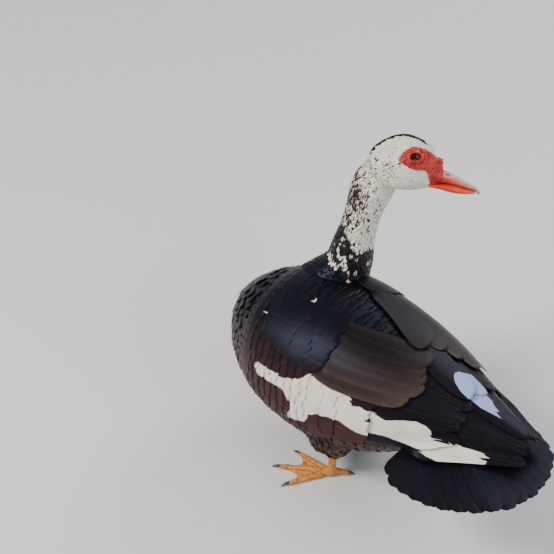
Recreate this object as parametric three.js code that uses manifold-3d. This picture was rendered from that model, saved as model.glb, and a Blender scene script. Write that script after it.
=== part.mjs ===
// Pied muscovy duck, female, standing with her head turned back over her right side
// and her tail fanned and swung to the left.
// Millimetres, +Z up. Her trunk heads towards -X, her left side is -Y, the floor is z = 0.
import * as THREE from "three";
import { mergeVertices } from "three/addons/utils/BufferGeometryUtils.js";
import Module from "manifold-3d";

const wasm = await Module();
wasm.setup();

// Driving dimensions
const GAP = 0.3;
const LARGEST_SLIVER = 5;
const GOLDEN = 0.382;
const SECTION_POWER = 2.2;
const SECTION_MIDDLE = 0.47;
const TRUNK_MESH = { sides: 22, steps: 12 };
const HEAD_MESH = { sides: 16, steps: 10 };
const BILL_MESH = { sides: 12, steps: 6 };
const NAIL_MESH = { sides: 8, steps: 4 };
const NECK_MESH = { sides: 14, steps: 10 };

// Trunk from breast to rump: place along X, back height, belly height, half width
const TRUNK = [
  [-138, 130, 118, 4],
  [-133, 152, 95, 25],
  [-123, 166, 77, 41],
  [-102, 181, 57, 59],
  [-70, 192, 42, 75],
  [-33, 194, 34, 82],
  [0, 190, 32, 83],
  [33, 182, 36, 78],
  [66, 169, 46, 66],
  [98, 153, 63, 50],
  [124, 138, 80, 35],
  [140, 128, 92, 24],
  [147, 121, 102, 12],
];

// Surface on which the folded wings lie: the same columns, fuller towards the tail
const CLOAK = [
  [-123, 174, 74, 46],
  [-102, 187, 55, 63],
  [-70, 197, 42, 79],
  [-33, 199, 34, 86],
  [0, 196, 32, 87],
  [33, 190, 36, 83],
  [66, 182, 48, 76],
  [98, 172, 64, 65],
  [131, 161, 80, 51],
  [164, 149, 94, 36],
  [197, 138, 104, 22],
  [220, 132, 110, 15],
];

// Neck from the breast up to the head: centre, radius across and radius fore and aft
const NECK = [
  [[-80, 12, 124], 43, 44],
  [[-60, 24, 154], 40, 40],
  [[-43, 36, 180], 34, 33],
  [[-34, 42, 202], 27, 26],
  [[-30, 43, 224], 23.5, 23.5],
  [[-26, 45, 246], 20.5, 20.5],
  [[-22, 47, 268], 19.8, 20],
  [[-17, 49, 290], 21, 22.5],
  [[-10, 51, 310], 22, 23],
  [[1, 56, 327], 19, 20],
];

// Head in its own frame: X towards the bill, Y to her left, Z up, origin between the eyes
const HEAD_PLACE = [21.3, 64.6, 340.8];
const HEAD_TURN = 38;
const HEAD_ROLL = -32;
const HEAD = [
  [-43, 3, -8, 3],
  [-40, 9, -15, 10],
  [-33, 14.5, -24, 14],
  [-24, 19.5, -30, 17],
  [-14, 22.4, -32, 18.5],
  [-3, 22, -32.5, 18.5],
  [8, 17.4, -31, 16],
  [15, 12.6, -29.5, 13.4],
  [21, 6.4, -27.5, 10.8],
  [24, 0, -25, 9],
];
const EYE = { radius: 6.2, out: 13.2 };
const LID = { ring: 5.4, tube: 1.35, out: 17.4, long: 1.16, high: 0.82 };
const NOSTRIL = { place: [32, 9.2, -17], radii: [2.6, 2.2, 1.3] };
const BILL_UPPER = [
  [14, -6, -25.5, 9.6],
  [20, -8, -25.3, 10],
  [28, -12.6, -25.4, 9.6],
  [35, -15.2, -26.8, 9],
  [42, -19, -28.6, 9],
  [50, -23.6, -30.6, 9.2],
  [56, -27.2, -32, 8.2],
  [60, -30.6, -33, 5.6],
];
const BILL_LOWER = [
  [12, -25.8, -29.8, 8.4],
  [24, -25.8, -31, 8.8],
  [35, -27.2, -34.2, 8.4],
  [47, -30.2, -35.8, 8.2],
  [55, -32.2, -35.8, 7],
  [58.5, -33.2, -35.2, 5],
];
const BILL_NAIL = [
  [53.5, -25, -27.6, 2.4],
  [57, -27, -31, 3.8],
  [60, -29.6, -34.6, 3.8],
  [62, -32, -36.2, 2.6],
  [62.8, -34, -36, 1.2],
];

// Bare red face skin on the side of the head: place along X, upper edge, lower edge
const MASK = [
  [-15, -1.2, -3],
  [-10, 4.6, -6.6],
  [-2, 8.2, -11.2],
  [6, 7, -12],
  [13, 3.2, -14],
  [19, -1, -20],
  [25, -7, -24],
];
const MASK_FACES = { under: 0.9, over: 1.9 };
const BULBS = { count: 10, radius: 2.3, seed: 7, margin: 0.08, clear: 2.4 };
const KNOB = {
  place: [25.5, 0, -5.5], radii: [5.2, 7.6, 5],
  beads: 4, bead: 2.9, ring: [7, 4.2], ahead: 2.4, stray: 1.4, drop: 0.6,
};

// Legs: hip, heel joint, ball of the foot and the way that the toes point, from +X
const LEGS = {
  left: { hip: [12, -41, 72], heel: [20, -46, 46], ball: [14, -48, 4], turn: 206 },
  right: { hip: [20, 42, 72], heel: [28, 45, 46], ball: [22, 46, 4], turn: 166 },
};

// Feathered thigh: way behind the hip, share of the hip's distance out, height, radii
const THIGH = [
  [-6, 0.9, 66, 26, 34],
  [0, 1, 48, 24, 31],
  [5, 1.04, 35, 15, 19],
  [7, 1.1, 26, 7.5, 8.5],
];
const THIGH_MESH = { sides: 10, steps: 5 };

// Shank: share of the way from the heel to the ball, height, radii. Its foot: way behind the
// ball, height, radii
const SHANK = [
  [0, 58, 5.2, 6],
  [0, 46, 5.4, 6.2],
  [0.5, 26, 4, 4.6],
  [1, 9, 4.6, 5.4],
];
const SHANK_BACK = 2;
const SHANK_FOOT = [
  [2, 8.7, 5.2, 6.2],
  [0, 4, 5.6, 6],
  [-1, 0, 5.6, 5.8],
];
const SHANK_MESH = { sides: 8, steps: 4 };

// Toes, as shares of the length, heights and shares of the radius, and the claws with their radii
const TOES = [
  { spread: -30, length: 42, radius: 3.6 },
  { spread: 2, length: 53, radius: 3.9 },
  { spread: 32, length: 46, radius: 3.7 },
];
const TOE_SHAPE = [[-0.08, 5, 1], [0.3, 4, 0.92], [0.7, 3.2, 0.8], [1, 2.4, 0.62]];
const TOE_MESH = { sides: 6, steps: 3 };
const HIND_TOE = { turn: 190, length: 20, radius: 3.6, shape: [[0, 9, 1], [0.5, 5, 0.83], [1, 2.6, 0.64]] };
const WEB = { thickness: 1.8, notch: 0.2, inset: 0.08, back: 3, steps: 3 };
const CLAW = {
  front: 8, hind: 6, sides: 5, steps: 3,
  shape: [[-0.25, 3.4, 1.7], [0.35, 3.6, 1.5], [0.8, 2.2, 0.9], [1, 1, 0.35]],
};

// Wing plan on the cloak: upper and lower edges in degrees from the ridge, at places along X
const WING_EDGES = [
  [-115, 58, 72],
  [-90, 34, 90],
  [-60, 27, 98],
  [0, 24, 103],
  [33, 24, 99],
  [66, 19, 97],
  [131, 8, 100],
  [220, 4, 84],
];

// Shares of a vane's length and of its width, from root to tip
const LONG_VANE = [[0, 0.6], [0.5, 1], [0.88, 0.8], [1, 0.3]];
const SHORT_VANE = [[0, 0.7], [0.66, 1], [1, 0.4]];
const FAN_VANE = [[0, 0.24], [0.4, 0.72], [0.85, 1], [1, 0.45]];
const VANE_THICKNESS = 0.7;
const SHINGLE = 0.15;
const STRAY = { start: 5, length: 0.1, seed: 11 };

// Tiers of the folded wing. The pad holds the roots: its span along X, its span between the
// edges, its columns, and its faces above or under the cloak. Each row of vanes: root place,
// first and last share between the edges, number, length, width, lift at the root and the tip.
const TIERS = {
  wing_coverts: {
    finish: "white",
    shares: SHORT_VANE,
    pad: { from: -113, to: 46, top: 0, low: 1, columns: 6, strips: 5, under: -3, over: 0.3 },
    rows: [
      { x: -94, first: 0.3, last: 0.86, count: 3, length: 42, width: 26, root: -1.7, tip: 1.8 },
      { x: -62, first: 0.1, last: 0.92, count: 4, length: 42, width: 32, root: -1.7, tip: 1.8 },
      { x: -30, first: 0.1, last: 0.92, count: 4, length: 42, width: 34, root: -1.7, tip: 1.8 },
      { x: 0, first: 0.08, last: 0.94, count: 5, length: 42, width: 30, root: -1.7, tip: 1.8 },
      { x: 28, first: 0.09, last: 0.94, count: 6, length: 54, width: 22, root: -1.7, tip: 1.8 },
    ],
  },
  wing_secondaries: {
    finish: "dark",
    shares: LONG_VANE,
    pad: { from: 46.4, to: 78, top: 0, low: 0.82, columns: 2, strips: 4, under: -4.4, over: -2 },
    rows: [{ x: 60, first: 0.03, last: 0.76, count: 7, length: 100, width: 18, root: -3.2, tip: -1 }],
  },
  wing_primaries: {
    finish: "dark",
    shares: LONG_VANE,
    pad: { from: 62, to: 88, top: 0, low: 1, columns: 2, strips: 4, under: -9, over: -6.8 },
    rows: [{ x: 70, first: 0.02, last: 0.82, count: 6, length: 142, width: 19, root: -8, tip: -4.6 }],
  },
  tertials: {
    finish: "dark",
    shares: LONG_VANE,
    pad: { from: -8, to: 44, top: -0.1, low: 0.46, columns: 3, strips: 3, under: 4, over: 5.6 },
    rows: [{ x: 16, first: 0.02, last: 0.44, count: 4, length: 118, width: 23, root: 4.9, tip: 5.2 }],
  },
  scapulars: {
    finish: "dark",
    shares: SHORT_VANE,
    pad: { from: -72, to: 26, top: -0.1, low: 0.32, columns: 4, strips: 3, under: 7, over: 8.8 },
    rows: [
      { x: -66, first: 0.02, last: 0.24, count: 2, length: 42, width: 26, root: 7.8, tip: 9.6 },
      { x: -40, first: -0.04, last: 0.3, count: 3, length: 50, width: 24, root: 7.8, tip: 9.6 },
      { x: -8, first: -0.05, last: 0.3, count: 3, length: 72, width: 26, root: 8.4, tip: 9.4 },
    ],
  },
};

// Tail: quills rise from an arc round the rump and fan out over the whole spread
const TAIL_ROOT = [120, 0, 114];
const TAIL_TURN = 34;
const TAIL_SLOPE = 3;
const TAIL = {
  count: 18, length: 124, width: 25, start: 14, pad: 38, halfSpread: 58,
  outerShare: 0.7, lift: 0, drop: 11, rise: 0,
};
const TAIL_COVERTS = {
  count: 9, length: 56, width: 22, start: 15, pad: 42, halfSpread: 52,
  outerShare: 0.85, lift: 4.6, drop: 9.8, rise: 0.6,
};
const FAN_PAD = { columns: 2, strips: 9, under: -1.4, over: 1.1 };
const FAN_CREST = 0.3;

const SIDES = { left: 1, right: -1 };
const ROOM = 900;
const radians = THREE.MathUtils.degToRad;
const vector = (p) => new THREE.Vector3(...p);

// Smooth value of every later column of a table at a place on its first column
function rowsAt(rows, place) {
  const last = rows.length - 1;
  const x = THREE.MathUtils.clamp(place, rows[0][0], rows[last][0]);
  let i = 0;
  while (i < last - 1 && rows[i + 1][0] < x) i += 1;
  const span = rows[i + 1][0] - rows[i][0];
  const t = (x - rows[i][0]) / span;
  const slope = (k, column) => {
    const before = rows[Math.max(k - 1, 0)];
    const after = rows[Math.min(k + 1, last)];
    return (after[column] - before[column]) / (after[0] - before[0]);
  };
  return rows[i].slice(1).map((value, index) => {
    const column = index + 1;
    const blend = t * t * (3 - 2 * t);
    const leave = slope(i, column) * span * t * (1 - t) * (1 - t);
    const arrive = slope(i + 1, column) * span * t * t * (t - 1);
    return value + (rows[i + 1][column] - value) * blend + leave + arrive;
  });
}

// Point of a rounded section, at an angle from the top towards the left
function sectionPoint([top, bottom, half], x, angle) {
  const middle = bottom + SECTION_MIDDLE * (top - bottom);
  const round = (v) => Math.sign(v) * Math.abs(v) ** (2 / SECTION_POWER);
  const up = Math.cos(angle);
  const rise = up > 0 ? top - middle : middle - bottom;
  return new THREE.Vector3(x, -half * round(Math.sin(angle)), middle + rise * round(up));
}

// Half width of a sectioned surface at a height
function halfWidthAt(rows, x, z) {
  const [top, bottom, half] = rowsAt(rows, x);
  const middle = bottom + SECTION_MIDDLE * (top - bottom);
  const share = Math.min(1, Math.abs(z - middle) / (z > middle ? top - middle : middle - bottom));
  return half * (1 - share ** SECTION_POWER) ** (1 / SECTION_POWER);
}

// Point lifted off the cloak along its normal, at an angle from the ridge towards the left
function onCloak(x, angle, lift) {
  const step = 0.5;
  const turn = 0.01;
  const at = (px, pa) => sectionPoint(rowsAt(CLOAK, px), px, pa);
  const place = at(x, angle);
  const along = at(x + step, angle).sub(at(x - step, angle));
  const around = at(x, angle + turn).sub(at(x, angle - turn));
  const normal = along.cross(around).normalize().multiplyScalar(-1);
  return place.addScaledVector(normal, lift);
}

// Geometry from points and faces, turned so that its volume is positive
function closedSkin(points, faces) {
  let volume = 0;
  for (let i = 0; i < faces.length; i += 3) {
    const [a, b, c] = [points[faces[i]], points[faces[i + 1]], points[faces[i + 2]]];
    volume += a.dot(b.clone().cross(c));
  }
  const index = volume > 0 ? faces : faces.slice().reverse();
  const geometry = new THREE.BufferGeometry().setFromPoints(points);
  geometry.setIndex(index);
  return geometry;
}

// Closed skin over rings of equal count, with a fan at each end
function loft(rings) {
  const count = rings[0].length;
  const points = rings.flat();
  const faces = [];
  for (let r = 0; r < rings.length - 1; r += 1) {
    for (let k = 0; k < count; k += 1) {
      const a = r * count + k;
      const b = r * count + ((k + 1) % count);
      faces.push(a, b, b + count, a, b + count, a + count);
    }
  }
  const cap = (start, flip) => {
    const centre = new THREE.Vector3();
    for (let k = 0; k < count; k += 1) centre.addScaledVector(points[start + k], 1 / count);
    const hub = points.push(centre) - 1;
    for (let k = 0; k < count; k += 1) {
      const a = start + k;
      const b = start + ((k + 1) % count);
      faces.push(...(flip ? [hub, b, a] : [hub, a, b]));
    }
  };
  cap(0, true);
  cap((rings.length - 1) * count, false);
  return closedSkin(points, faces);
}

// Body of rounded sections, grown where a neighbour is cut by it
function sectioned(rows, { sides, steps }, grow = 0) {
  const x0 = rows[0][0] - grow;
  const x1 = rows[rows.length - 1][0] + grow;
  const rings = [];
  for (let i = 0; i <= steps; i += 1) {
    const x = x0 + (x1 - x0) * (1 - Math.cos((Math.PI * i) / steps)) / 2;
    const [top, bottom, half] = rowsAt(rows, x);
    const ring = [];
    for (let k = 0; k < sides; k += 1) {
      ring.push(sectionPoint([top + grow, bottom - grow, half + grow], x, (2 * Math.PI * k) / sides));
    }
    rings.push(ring);
  }
  return loft(rings);
}

// Tube along a curve, with one radius across and one fore and aft
function limb(rows, sides, steps, grow = 0) {
  const curve = new THREE.CatmullRomCurve3(rows.map((row) => vector(row[0])), false, "centripetal");
  const radii = rows.map((row, index) => [index, row[1], row[2]]);
  const rings = [];
  for (let i = 0; i <= steps; i += 1) {
    const t = i / steps;
    const [across, along] = rowsAt(radii, t * (rows.length - 1));
    const centre = curve.getPoint(t);
    const ahead = curve.getTangent(t);
    const side = new THREE.Vector3(0, 1, 0).addScaledVector(ahead, -ahead.y).normalize();
    const front = ahead.clone().cross(side);
    const ring = [];
    for (let k = 0; k < sides; k += 1) {
      const angle = (2 * Math.PI * k) / sides;
      ring.push(centre.clone()
        .addScaledVector(side, (across + grow) * Math.cos(angle))
        .addScaledVector(front, (along + grow) * Math.sin(angle)));
    }
    rings.push(ring);
  }
  return loft(rings);
}

// Mean radius of the cloak round the trunk
function girthAt(x) {
  const [top, bottom, half] = rowsAt(CLOAK, x);
  return (half + (top - bottom) / 2) / 2;
}

// Closed plate between two lifts over part of a surface
function plate(point, columns, rows, under, over) {
  const points = [];
  for (const lift of [under, over]) {
    for (let i = 0; i <= columns; i += 1) {
      for (let j = 0; j <= rows; j += 1) points.push(point(i / columns, j / rows, lift));
    }
  }
  const line = rows + 1;
  const layer = line * (columns + 1);
  const faces = [];
  for (let i = 0; i < columns; i += 1) {
    for (let j = 0; j < rows; j += 1) {
      const a = i * line + j;
      const b = a + layer;
      faces.push(a, a + line, a + line + 1, a, a + line + 1, a + 1);
      faces.push(b, b + line + 1, b + line, b, b + 1, b + line + 1);
    }
  }
  const rim = [];
  for (let i = 0; i < columns; i += 1) rim.push(i * line);
  for (let j = 0; j < rows; j += 1) rim.push(columns * line + j);
  for (let i = columns; i > 0; i -= 1) rim.push(i * line + rows);
  for (let j = rows; j > 0; j -= 1) rim.push(j);
  rim.forEach((a, k) => {
    const b = rim[(k + 1) % rim.length];
    faces.push(a, b + layer, b, a, a + layer, b + layer);
  });
  return closedSkin(points, faces);
}

// One feather vane: point gives its place along, across and above the surface it lies on
function vane(point, shares, length, width, root, tip, roll) {
  const rings = shares.map(([along, wide]) => {
    const lift = root + (tip - root) * along;
    const half = 0.5 * width * wide;
    return [[-1, -0.5], [1, -0.5], [1, 0.5], [-1, 0.5]].map(([side, face]) => (
      point(along * length, side * half, lift + side * wide * roll + face * VANE_THICKNESS)
    ));
  });
  const faces = [];
  for (let r = 0; r < rings.length - 1; r += 1) {
    const a = r * 4;
    const b = a + 4;
    faces.push(a, a + 1, b + 1, a, b + 1, b, a + 3, b + 2, a + 2, a + 3, b + 3, b + 2);
    faces.push(a + 1, a + 2, b + 2, a + 1, b + 2, b + 1, a + 3, a, b, a + 3, b, b + 3);
  }
  const end = (rings.length - 1) * 4;
  faces.push(0, 3, 2, 0, 2, 1, end, end + 1, end + 2, end, end + 2, end + 3);
  return closedSkin(rings.flat(), faces);
}

// Solid for joining and cutting
function solid(geometry) {
  const bare = geometry.clone();
  bare.deleteAttribute("normal");
  bare.deleteAttribute("uv");
  const merged = mergeVertices(bare, 1e-4);
  const vertProperties = Float32Array.from(merged.attributes.position.array);
  const triVerts = Uint32Array.from(merged.index.array);
  return new wasm.Manifold(new wasm.Mesh({ numProp: 3, vertProperties, triVerts }));
}

// Mesh geometry of a solid's largest closed surface; a lost feather or toe is an error
function geometryOf(name, body) {
  const pieces = body.decompose().sort((a, b) => b.volume() - a.volume());
  const [whole, next] = pieces;
  if (next && next.volume() > LARGEST_SLIVER) {
    throw new Error(`${name} has a loose piece of ${next.volume().toFixed(1)} cubic millimetres`);
  }
  const mesh = whole.getMesh();
  const geometry = new THREE.BufferGeometry();
  const position = Float32Array.from(mesh.vertProperties);
  geometry.setAttribute("position", new THREE.BufferAttribute(position, 3));
  geometry.setIndex(Array.from(mesh.triVerts));
  return geometry;
}

// Repeatable random numbers from 0 to 1
function randomFrom(seed) {
  let state = seed;
  return () => {
    state = (state * 1664525 + 1013904223) % 4294967296;
    return state / 4294967296;
  };
}

const duck = new THREE.Group();
const FINISHES = {
  dark: { color: 0x1a1715, roughness: 0.5, metalness: 0 },
  white: { color: 0xe6dfd2, roughness: 0.8, metalness: 0 },
  red: { color: 0xb92a20, roughness: 0.5, metalness: 0 },
  bill: { color: 0xd98a78, roughness: 0.4, metalness: 0 },
  nail: { color: 0xe8dccb, roughness: 0.35, metalness: 0 },
  eye: { color: 0x2a140a, roughness: 0.1, metalness: 0 },
  foot: { color: 0xd98a33, roughness: 0.6, metalness: 0 },
  claw: { color: 0x3a302a, roughness: 0.4, metalness: 0 },
};

function add(name, body, finish, parent = duck) {
  const mesh = new THREE.Mesh(geometryOf(name, body), new THREE.MeshStandardMaterial(FINISHES[finish]));
  mesh.name = name;
  parent.add(mesh);
}

// Trunk, neck and the head's group
const headGroup = new THREE.Group();
headGroup.position.copy(vector(HEAD_PLACE));
headGroup.rotation.set(radians(HEAD_ROLL), 0, radians(HEAD_TURN), "ZYX");
headGroup.updateMatrix();
duck.add(headGroup);

const trunk = solid(sectioned(TRUNK, TRUNK_MESH));
const trunkRoom = solid(sectioned(TRUNK, TRUNK_MESH, GAP));
const skull = solid(sectioned(HEAD, HEAD_MESH));
const skullRoom = solid(sectioned(HEAD, HEAD_MESH, GAP));
const placedHead = (geometry) => solid(geometry.applyMatrix4(headGroup.matrix));
const skullRoomPlaced = placedHead(sectioned(HEAD, HEAD_MESH, GAP))
  .add(placedHead(sectioned(HEAD, HEAD_MESH).translate(-GAP, 0, 0)));
const neckBody = (grow) => solid(limb(NECK, NECK_MESH.sides, NECK_MESH.steps, grow));
const neckRoom = neckBody(GAP);

add("torso", trunk, "dark");
add("neck", neckBody(0).subtract(trunkRoom).subtract(skullRoomPlaced), "white");

// Ball placed and stretched in the head's frame
function bead(place, radii, detail = 0) {
  const ball = new THREE.IcosahedronGeometry(1, detail);
  ball.scale(...radii).translate(...place);
  return solid(ball);
}

// Head with its eye sockets, and the eyes
function eyeBall(side, grow) {
  const ball = new THREE.SphereGeometry(EYE.radius + grow, 10, 7);
  return solid(ball.translate(0, side * EYE.out, 0));
}
let head = skull;
for (const [name, side] of Object.entries(SIDES)) {
  head = head.subtract(eyeBall(side, GAP));
  add(`eye_${name}`, eyeBall(side, 0), "eye", headGroup);
}
add("head", head, "white", headGroup);

// Bill: upper half with nostrils, lower half, and the hooked nail
const nail = (grow) => solid(sectioned(BILL_NAIL, NAIL_MESH, grow));
const billRoom = solid(sectioned(BILL_UPPER, BILL_MESH, GAP));
let billUpper = solid(sectioned(BILL_UPPER, BILL_MESH)).subtract(skullRoom).subtract(nail(GAP));
for (const side of Object.values(SIDES)) {
  const [x, y, z] = NOSTRIL.place;
  billUpper = billUpper.subtract(bead([x, side * y, z], NOSTRIL.radii));
}
const billLower = solid(sectioned(BILL_LOWER, BILL_MESH));
const billLowerRoom = solid(sectioned(BILL_LOWER, BILL_MESH, GAP));
add("bill_upper", billUpper, "bill", headGroup);
add("bill_lower", billLower.subtract(billRoom).subtract(skullRoom).subtract(nail(GAP)), "bill", headGroup);
add("bill_nail", nail(0), "nail", headGroup);

// Warty knob over the root of the bill
function knob(grow) {
  const random = randomFrom(BULBS.seed);
  const [x, y, z] = KNOB.place;
  let body = bead(KNOB.place, KNOB.radii.map((r) => r + grow), 1);
  for (let i = 0; i < KNOB.beads; i += 1) {
    const turn = (Math.PI * (i + 0.5)) / KNOB.beads;
    const [wide, high] = KNOB.ring;
    const ahead = KNOB.ahead + random() * KNOB.stray;
    const place = [x + ahead, y + wide * Math.cos(turn), z + high * Math.sin(turn) - KNOB.drop];
    body = body.add(bead(place, Array(3).fill(KNOB.bead + grow)));
  }
  return body;
}
add("caruncle_knob", knob(0).subtract(skullRoom).subtract(billRoom), "red", headGroup);

// Red face skin on each side: a thin mask with a lid ring round the eye and rows of bulbs
function onFace(side, x, z, lift) {
  const out = Math.max(halfWidthAt(HEAD, x, z), x > BILL_UPPER[0][0] ? halfWidthAt(BILL_UPPER, x, z) : 0);
  return new THREE.Vector3(x, side * (out + lift), z);
}
for (const [name, side] of Object.entries(SIDES)) {
  const random = randomFrom(BULBS.seed + side);
  const span = MASK[MASK.length - 1][0] - MASK[0][0];
  const onMask = (u, v, lift) => {
    const x = MASK[0][0] + span * u;
    const [upper, lower] = rowsAt(MASK, x);
    return onFace(side, x, upper + (lower - upper) * v, lift);
  };
  let mask = solid(plate(onMask, 7, 2, MASK_FACES.under, MASK_FACES.over));
  for (let i = 0; i < BULBS.count; i += 1) {
    const room = 1 - 2 * BULBS.margin;
    const u = BULBS.margin + room * ((i + random()) / BULBS.count);
    const v = BULBS.margin + room * ((i * GOLDEN + 0.2 * random()) % 1);
    const size = BULBS.radius * (0.75 + 0.5 * random());
    const place = onMask(u, v, MASK_FACES.over);
    if (Math.hypot(place.x, place.z) > LID.ring + BULBS.clear) {
      mask = mask.add(bead(place.toArray(), [size, size * 0.6, size]));
    }
  }
  const lid = new THREE.TorusGeometry(LID.ring, LID.tube, 4, 10);
  lid.scale(LID.long, LID.high, 1).rotateX(Math.PI / 2).translate(0, side * LID.out, 0);
  mask = mask.add(solid(lid))
    .subtract(skullRoom)
    .subtract(billRoom)
    .subtract(billLowerRoom)
    .subtract(knob(GAP))
    .subtract(eyeBall(side, GAP));
  add(`caruncles_${name}`, mask, "red", headGroup);
}

// Feathered thighs, bare shanks, webbed feet and claws
const floor = solid(new THREE.BoxGeometry(ROOM, ROOM, ROOM).translate(0, 0, -ROOM / 2));
const heading = (angle) => new THREE.Vector3(Math.cos(radians(angle)), Math.sin(radians(angle)), 0);

for (const [name, leg] of Object.entries(LEGS)) {
  const [hip, heel, ball] = [vector(leg.hip), vector(leg.heel), vector(leg.ball)];
  const thighRows = THIGH.map(([back, out, z, across, along]) => (
    [[hip.x + back, hip.y * out, z], across, along]
  ));
  const thigh = (grow) => solid(limb(thighRows, THIGH_MESH.sides, THIGH_MESH.steps, grow));
  const shankRows = SHANK.map(([share, z, across, along]) => {
    const place = heel.clone().lerp(ball, share).setZ(z);
    return [[place.x + SHANK_BACK * share, place.y, z], across, along];
  });
  const shank = (grow) => solid(limb(shankRows, SHANK_MESH.sides, SHANK_MESH.steps, grow));
  add(`thigh_${name}`, thigh(0).subtract(trunkRoom), "dark");
  add(`leg_${name}`, shank(0).subtract(thigh(GAP)).subtract(trunkRoom), "foot");

  const pointAlong = (way, reach, z) => ball.clone().addScaledVector(way, reach).setZ(z).toArray();
  const front = TOES.map((toe) => {
    const way = heading(leg.turn + toe.spread);
    const at = (share, z) => pointAlong(way, toe.length * share, z);
    const rows = TOE_SHAPE.map(([share, z, wide]) => [at(share, z), toe.radius * wide, toe.radius * wide]);
    return { way, rows, end: vector(at(1, 0)), claw: CLAW.front };
  });
  const hindWay = heading(leg.turn + HIND_TOE.turn);
  const hindAt = (share, z) => pointAlong(hindWay, HIND_TOE.length * share, z);
  const hind = {
    way: hindWay,
    rows: HIND_TOE.shape.map(([share, z, wide]) => (
      [hindAt(share, z), HIND_TOE.radius * wide, HIND_TOE.radius * wide]
    )),
    end: vector(hindAt(1, 0)),
    claw: CLAW.hind,
  };

  // Web between the front toes, its free edge drawn in towards the ball
  const hub = ball.clone().setZ(0);
  const outline = [hub.clone().addScaledVector(heading(leg.turn + 180), WEB.back)];
  for (const [a, b] of [[0, 1], [1, 2]]) {
    for (let i = a; i <= WEB.steps; i += 1) {
      const edge = front[a].end.clone().lerp(front[b].end, i / WEB.steps);
      outline.push(edge.lerp(hub, WEB.inset + WEB.notch * Math.sin((Math.PI * i) / WEB.steps)));
    }
  }
  const shape = new THREE.Shape(outline.map((p) => new THREE.Vector2(p.x, p.y)));
  let foot = solid(new THREE.ExtrudeGeometry(shape, { depth: WEB.thickness, bevelEnabled: false }));
  for (const toe of [...front, hind]) {
    foot = foot.add(solid(limb(toe.rows, TOE_MESH.sides, TOE_MESH.steps)));
  }
  const footRows = SHANK_FOOT.map(([back, z, across, along]) => (
    [[ball.x + back, ball.y, z], across, along]
  ));
  foot = foot.add(solid(limb(footRows, SHANK_MESH.sides, SHANK_MESH.steps / 2)));
  foot = foot.subtract(floor).subtract(shank(GAP));

  [...front, hind].forEach((toe, index) => {
    const at = (share, z) => toe.end.clone().addScaledVector(toe.way, toe.claw * share).setZ(z).toArray();
    const rows = CLAW.shape.map(([share, z, radius]) => [at(share, z), radius, radius]);
    add(`claw_${name}_${index + 1}`, solid(limb(rows, CLAW.sides, CLAW.steps)), "claw");
    foot = foot.subtract(solid(limb(rows, CLAW.sides, CLAW.steps, GAP)));
  });
  add(`foot_${name}`, foot, "foot");
}

// Folded wings: pads that carry rows of vanes over the cloak
function tierBody(plan, side, sink = 0) {
  const { pad, rows } = plan;
  let body = solid(plate((u, v, lift) => {
    const x = pad.from + (pad.to - pad.from) * u;
    const [upper, lower] = rowsAt(WING_EDGES, x);
    const share = pad.top + (pad.low - pad.top) * v;
    return onCloak(x, side * radians(upper + (lower - upper) * share), lift - sink);
  }, pad.columns, pad.strips, pad.under, pad.over));
  rows.forEach((row, rowIndex) => {
    const random = randomFrom(STRAY.seed + rowIndex);
    const spread = radians(rowsAt(WING_EDGES, row.x)[1] - rowsAt(WING_EDGES, row.x)[0]);
    const spacing = (girthAt(row.x) * spread * (row.last - row.first)) / (row.count - 1);
    const bulge = (spacing * Math.max(row.width - spacing, 0)) / (2 * girthAt(row.x));
    const roll = ((VANE_THICKNESS + SHINGLE + bulge) * row.width) / (2 * spacing);
    for (let i = 0; i < row.count; i += 1) {
      const share = row.first + (row.last - row.first) * (i / (row.count - 1));
      const start = row.x + STRAY.start * (random() - 0.5);
      const length = row.length * (1 + STRAY.length * (random() - 0.5));
      const point = (along, across, lift) => {
        const x = start + along;
        const [upper, lower] = rowsAt(WING_EDGES, x);
        const angle = radians(upper + (lower - upper) * share) + across / girthAt(x);
        return onCloak(x, side * angle, lift - sink);
      };
      body = body.add(solid(vane(point, plan.shares, length, row.width, row.root, row.tip, roll)));
    }
  });
  return body;
}

// Everything past the ridge from one wing, where the other wing lies
function pastRidge(side) {
  return solid(new THREE.BoxGeometry(ROOM, ROOM, ROOM).translate(0, side * (ROOM - GAP) / 2, 0));
}
for (const [name, side] of Object.entries(SIDES)) {
  for (const [tier, plan] of Object.entries(TIERS)) {
    let body = tierBody(plan, side).subtract(pastRidge(side));
    if (plan.pad.under < -2) body = body.subtract(trunkRoom);
    if (plan.pad.from < -30) body = body.subtract(neckRoom);
    add(`${tier}_${name}`, body, plan.finish);
  }
}

// Tail fan and the coverts over its root: angle counts from +X towards the left
function onFan(angle, reach, across, lift) {
  const way = new THREE.Vector3(Math.cos(angle), -Math.sin(angle), -Math.tan(radians(TAIL_SLOPE)));
  const side = new THREE.Vector3(-Math.sin(angle), -Math.cos(angle), 0);
  return vector(TAIL_ROOT).addScaledVector(way, reach).addScaledVector(side, across)
    .add(new THREE.Vector3(0, 0, lift));
}
function fanBody(fan) {
  const depth = (share) => fan.lift - fan.drop * Math.abs(share);
  let body = solid(plate((u, v, face) => {
    const share = 2 * v - 1;
    const angle = radians(TAIL_TURN + fan.halfSpread * share);
    return onFan(angle, fan.start + (fan.pad - fan.start) * u, 0, depth(share) + face);
  }, FAN_PAD.columns, FAN_PAD.strips, FAN_PAD.under, FAN_PAD.over));
  for (let i = 0; i < fan.count; i += 1) {
    const share = (2 * i) / (fan.count - 1) - 1;
    const level = Math.abs(2 * (i - FAN_CREST)) / (fan.count - 1) - 1;
    const angle = radians(TAIL_TURN + fan.halfSpread * share);
    const length = fan.length * (1 - (1 - fan.outerShare) * share * share);
    const point = (along, across, face) => onFan(angle, fan.start + along, across, depth(level) + face);
    body = body.add(solid(vane(point, FAN_VANE, length, fan.width, 0, fan.rise, 0)));
  }
  return body;
}
add("tail", fanBody(TAIL).subtract(trunkRoom), "dark");
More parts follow.
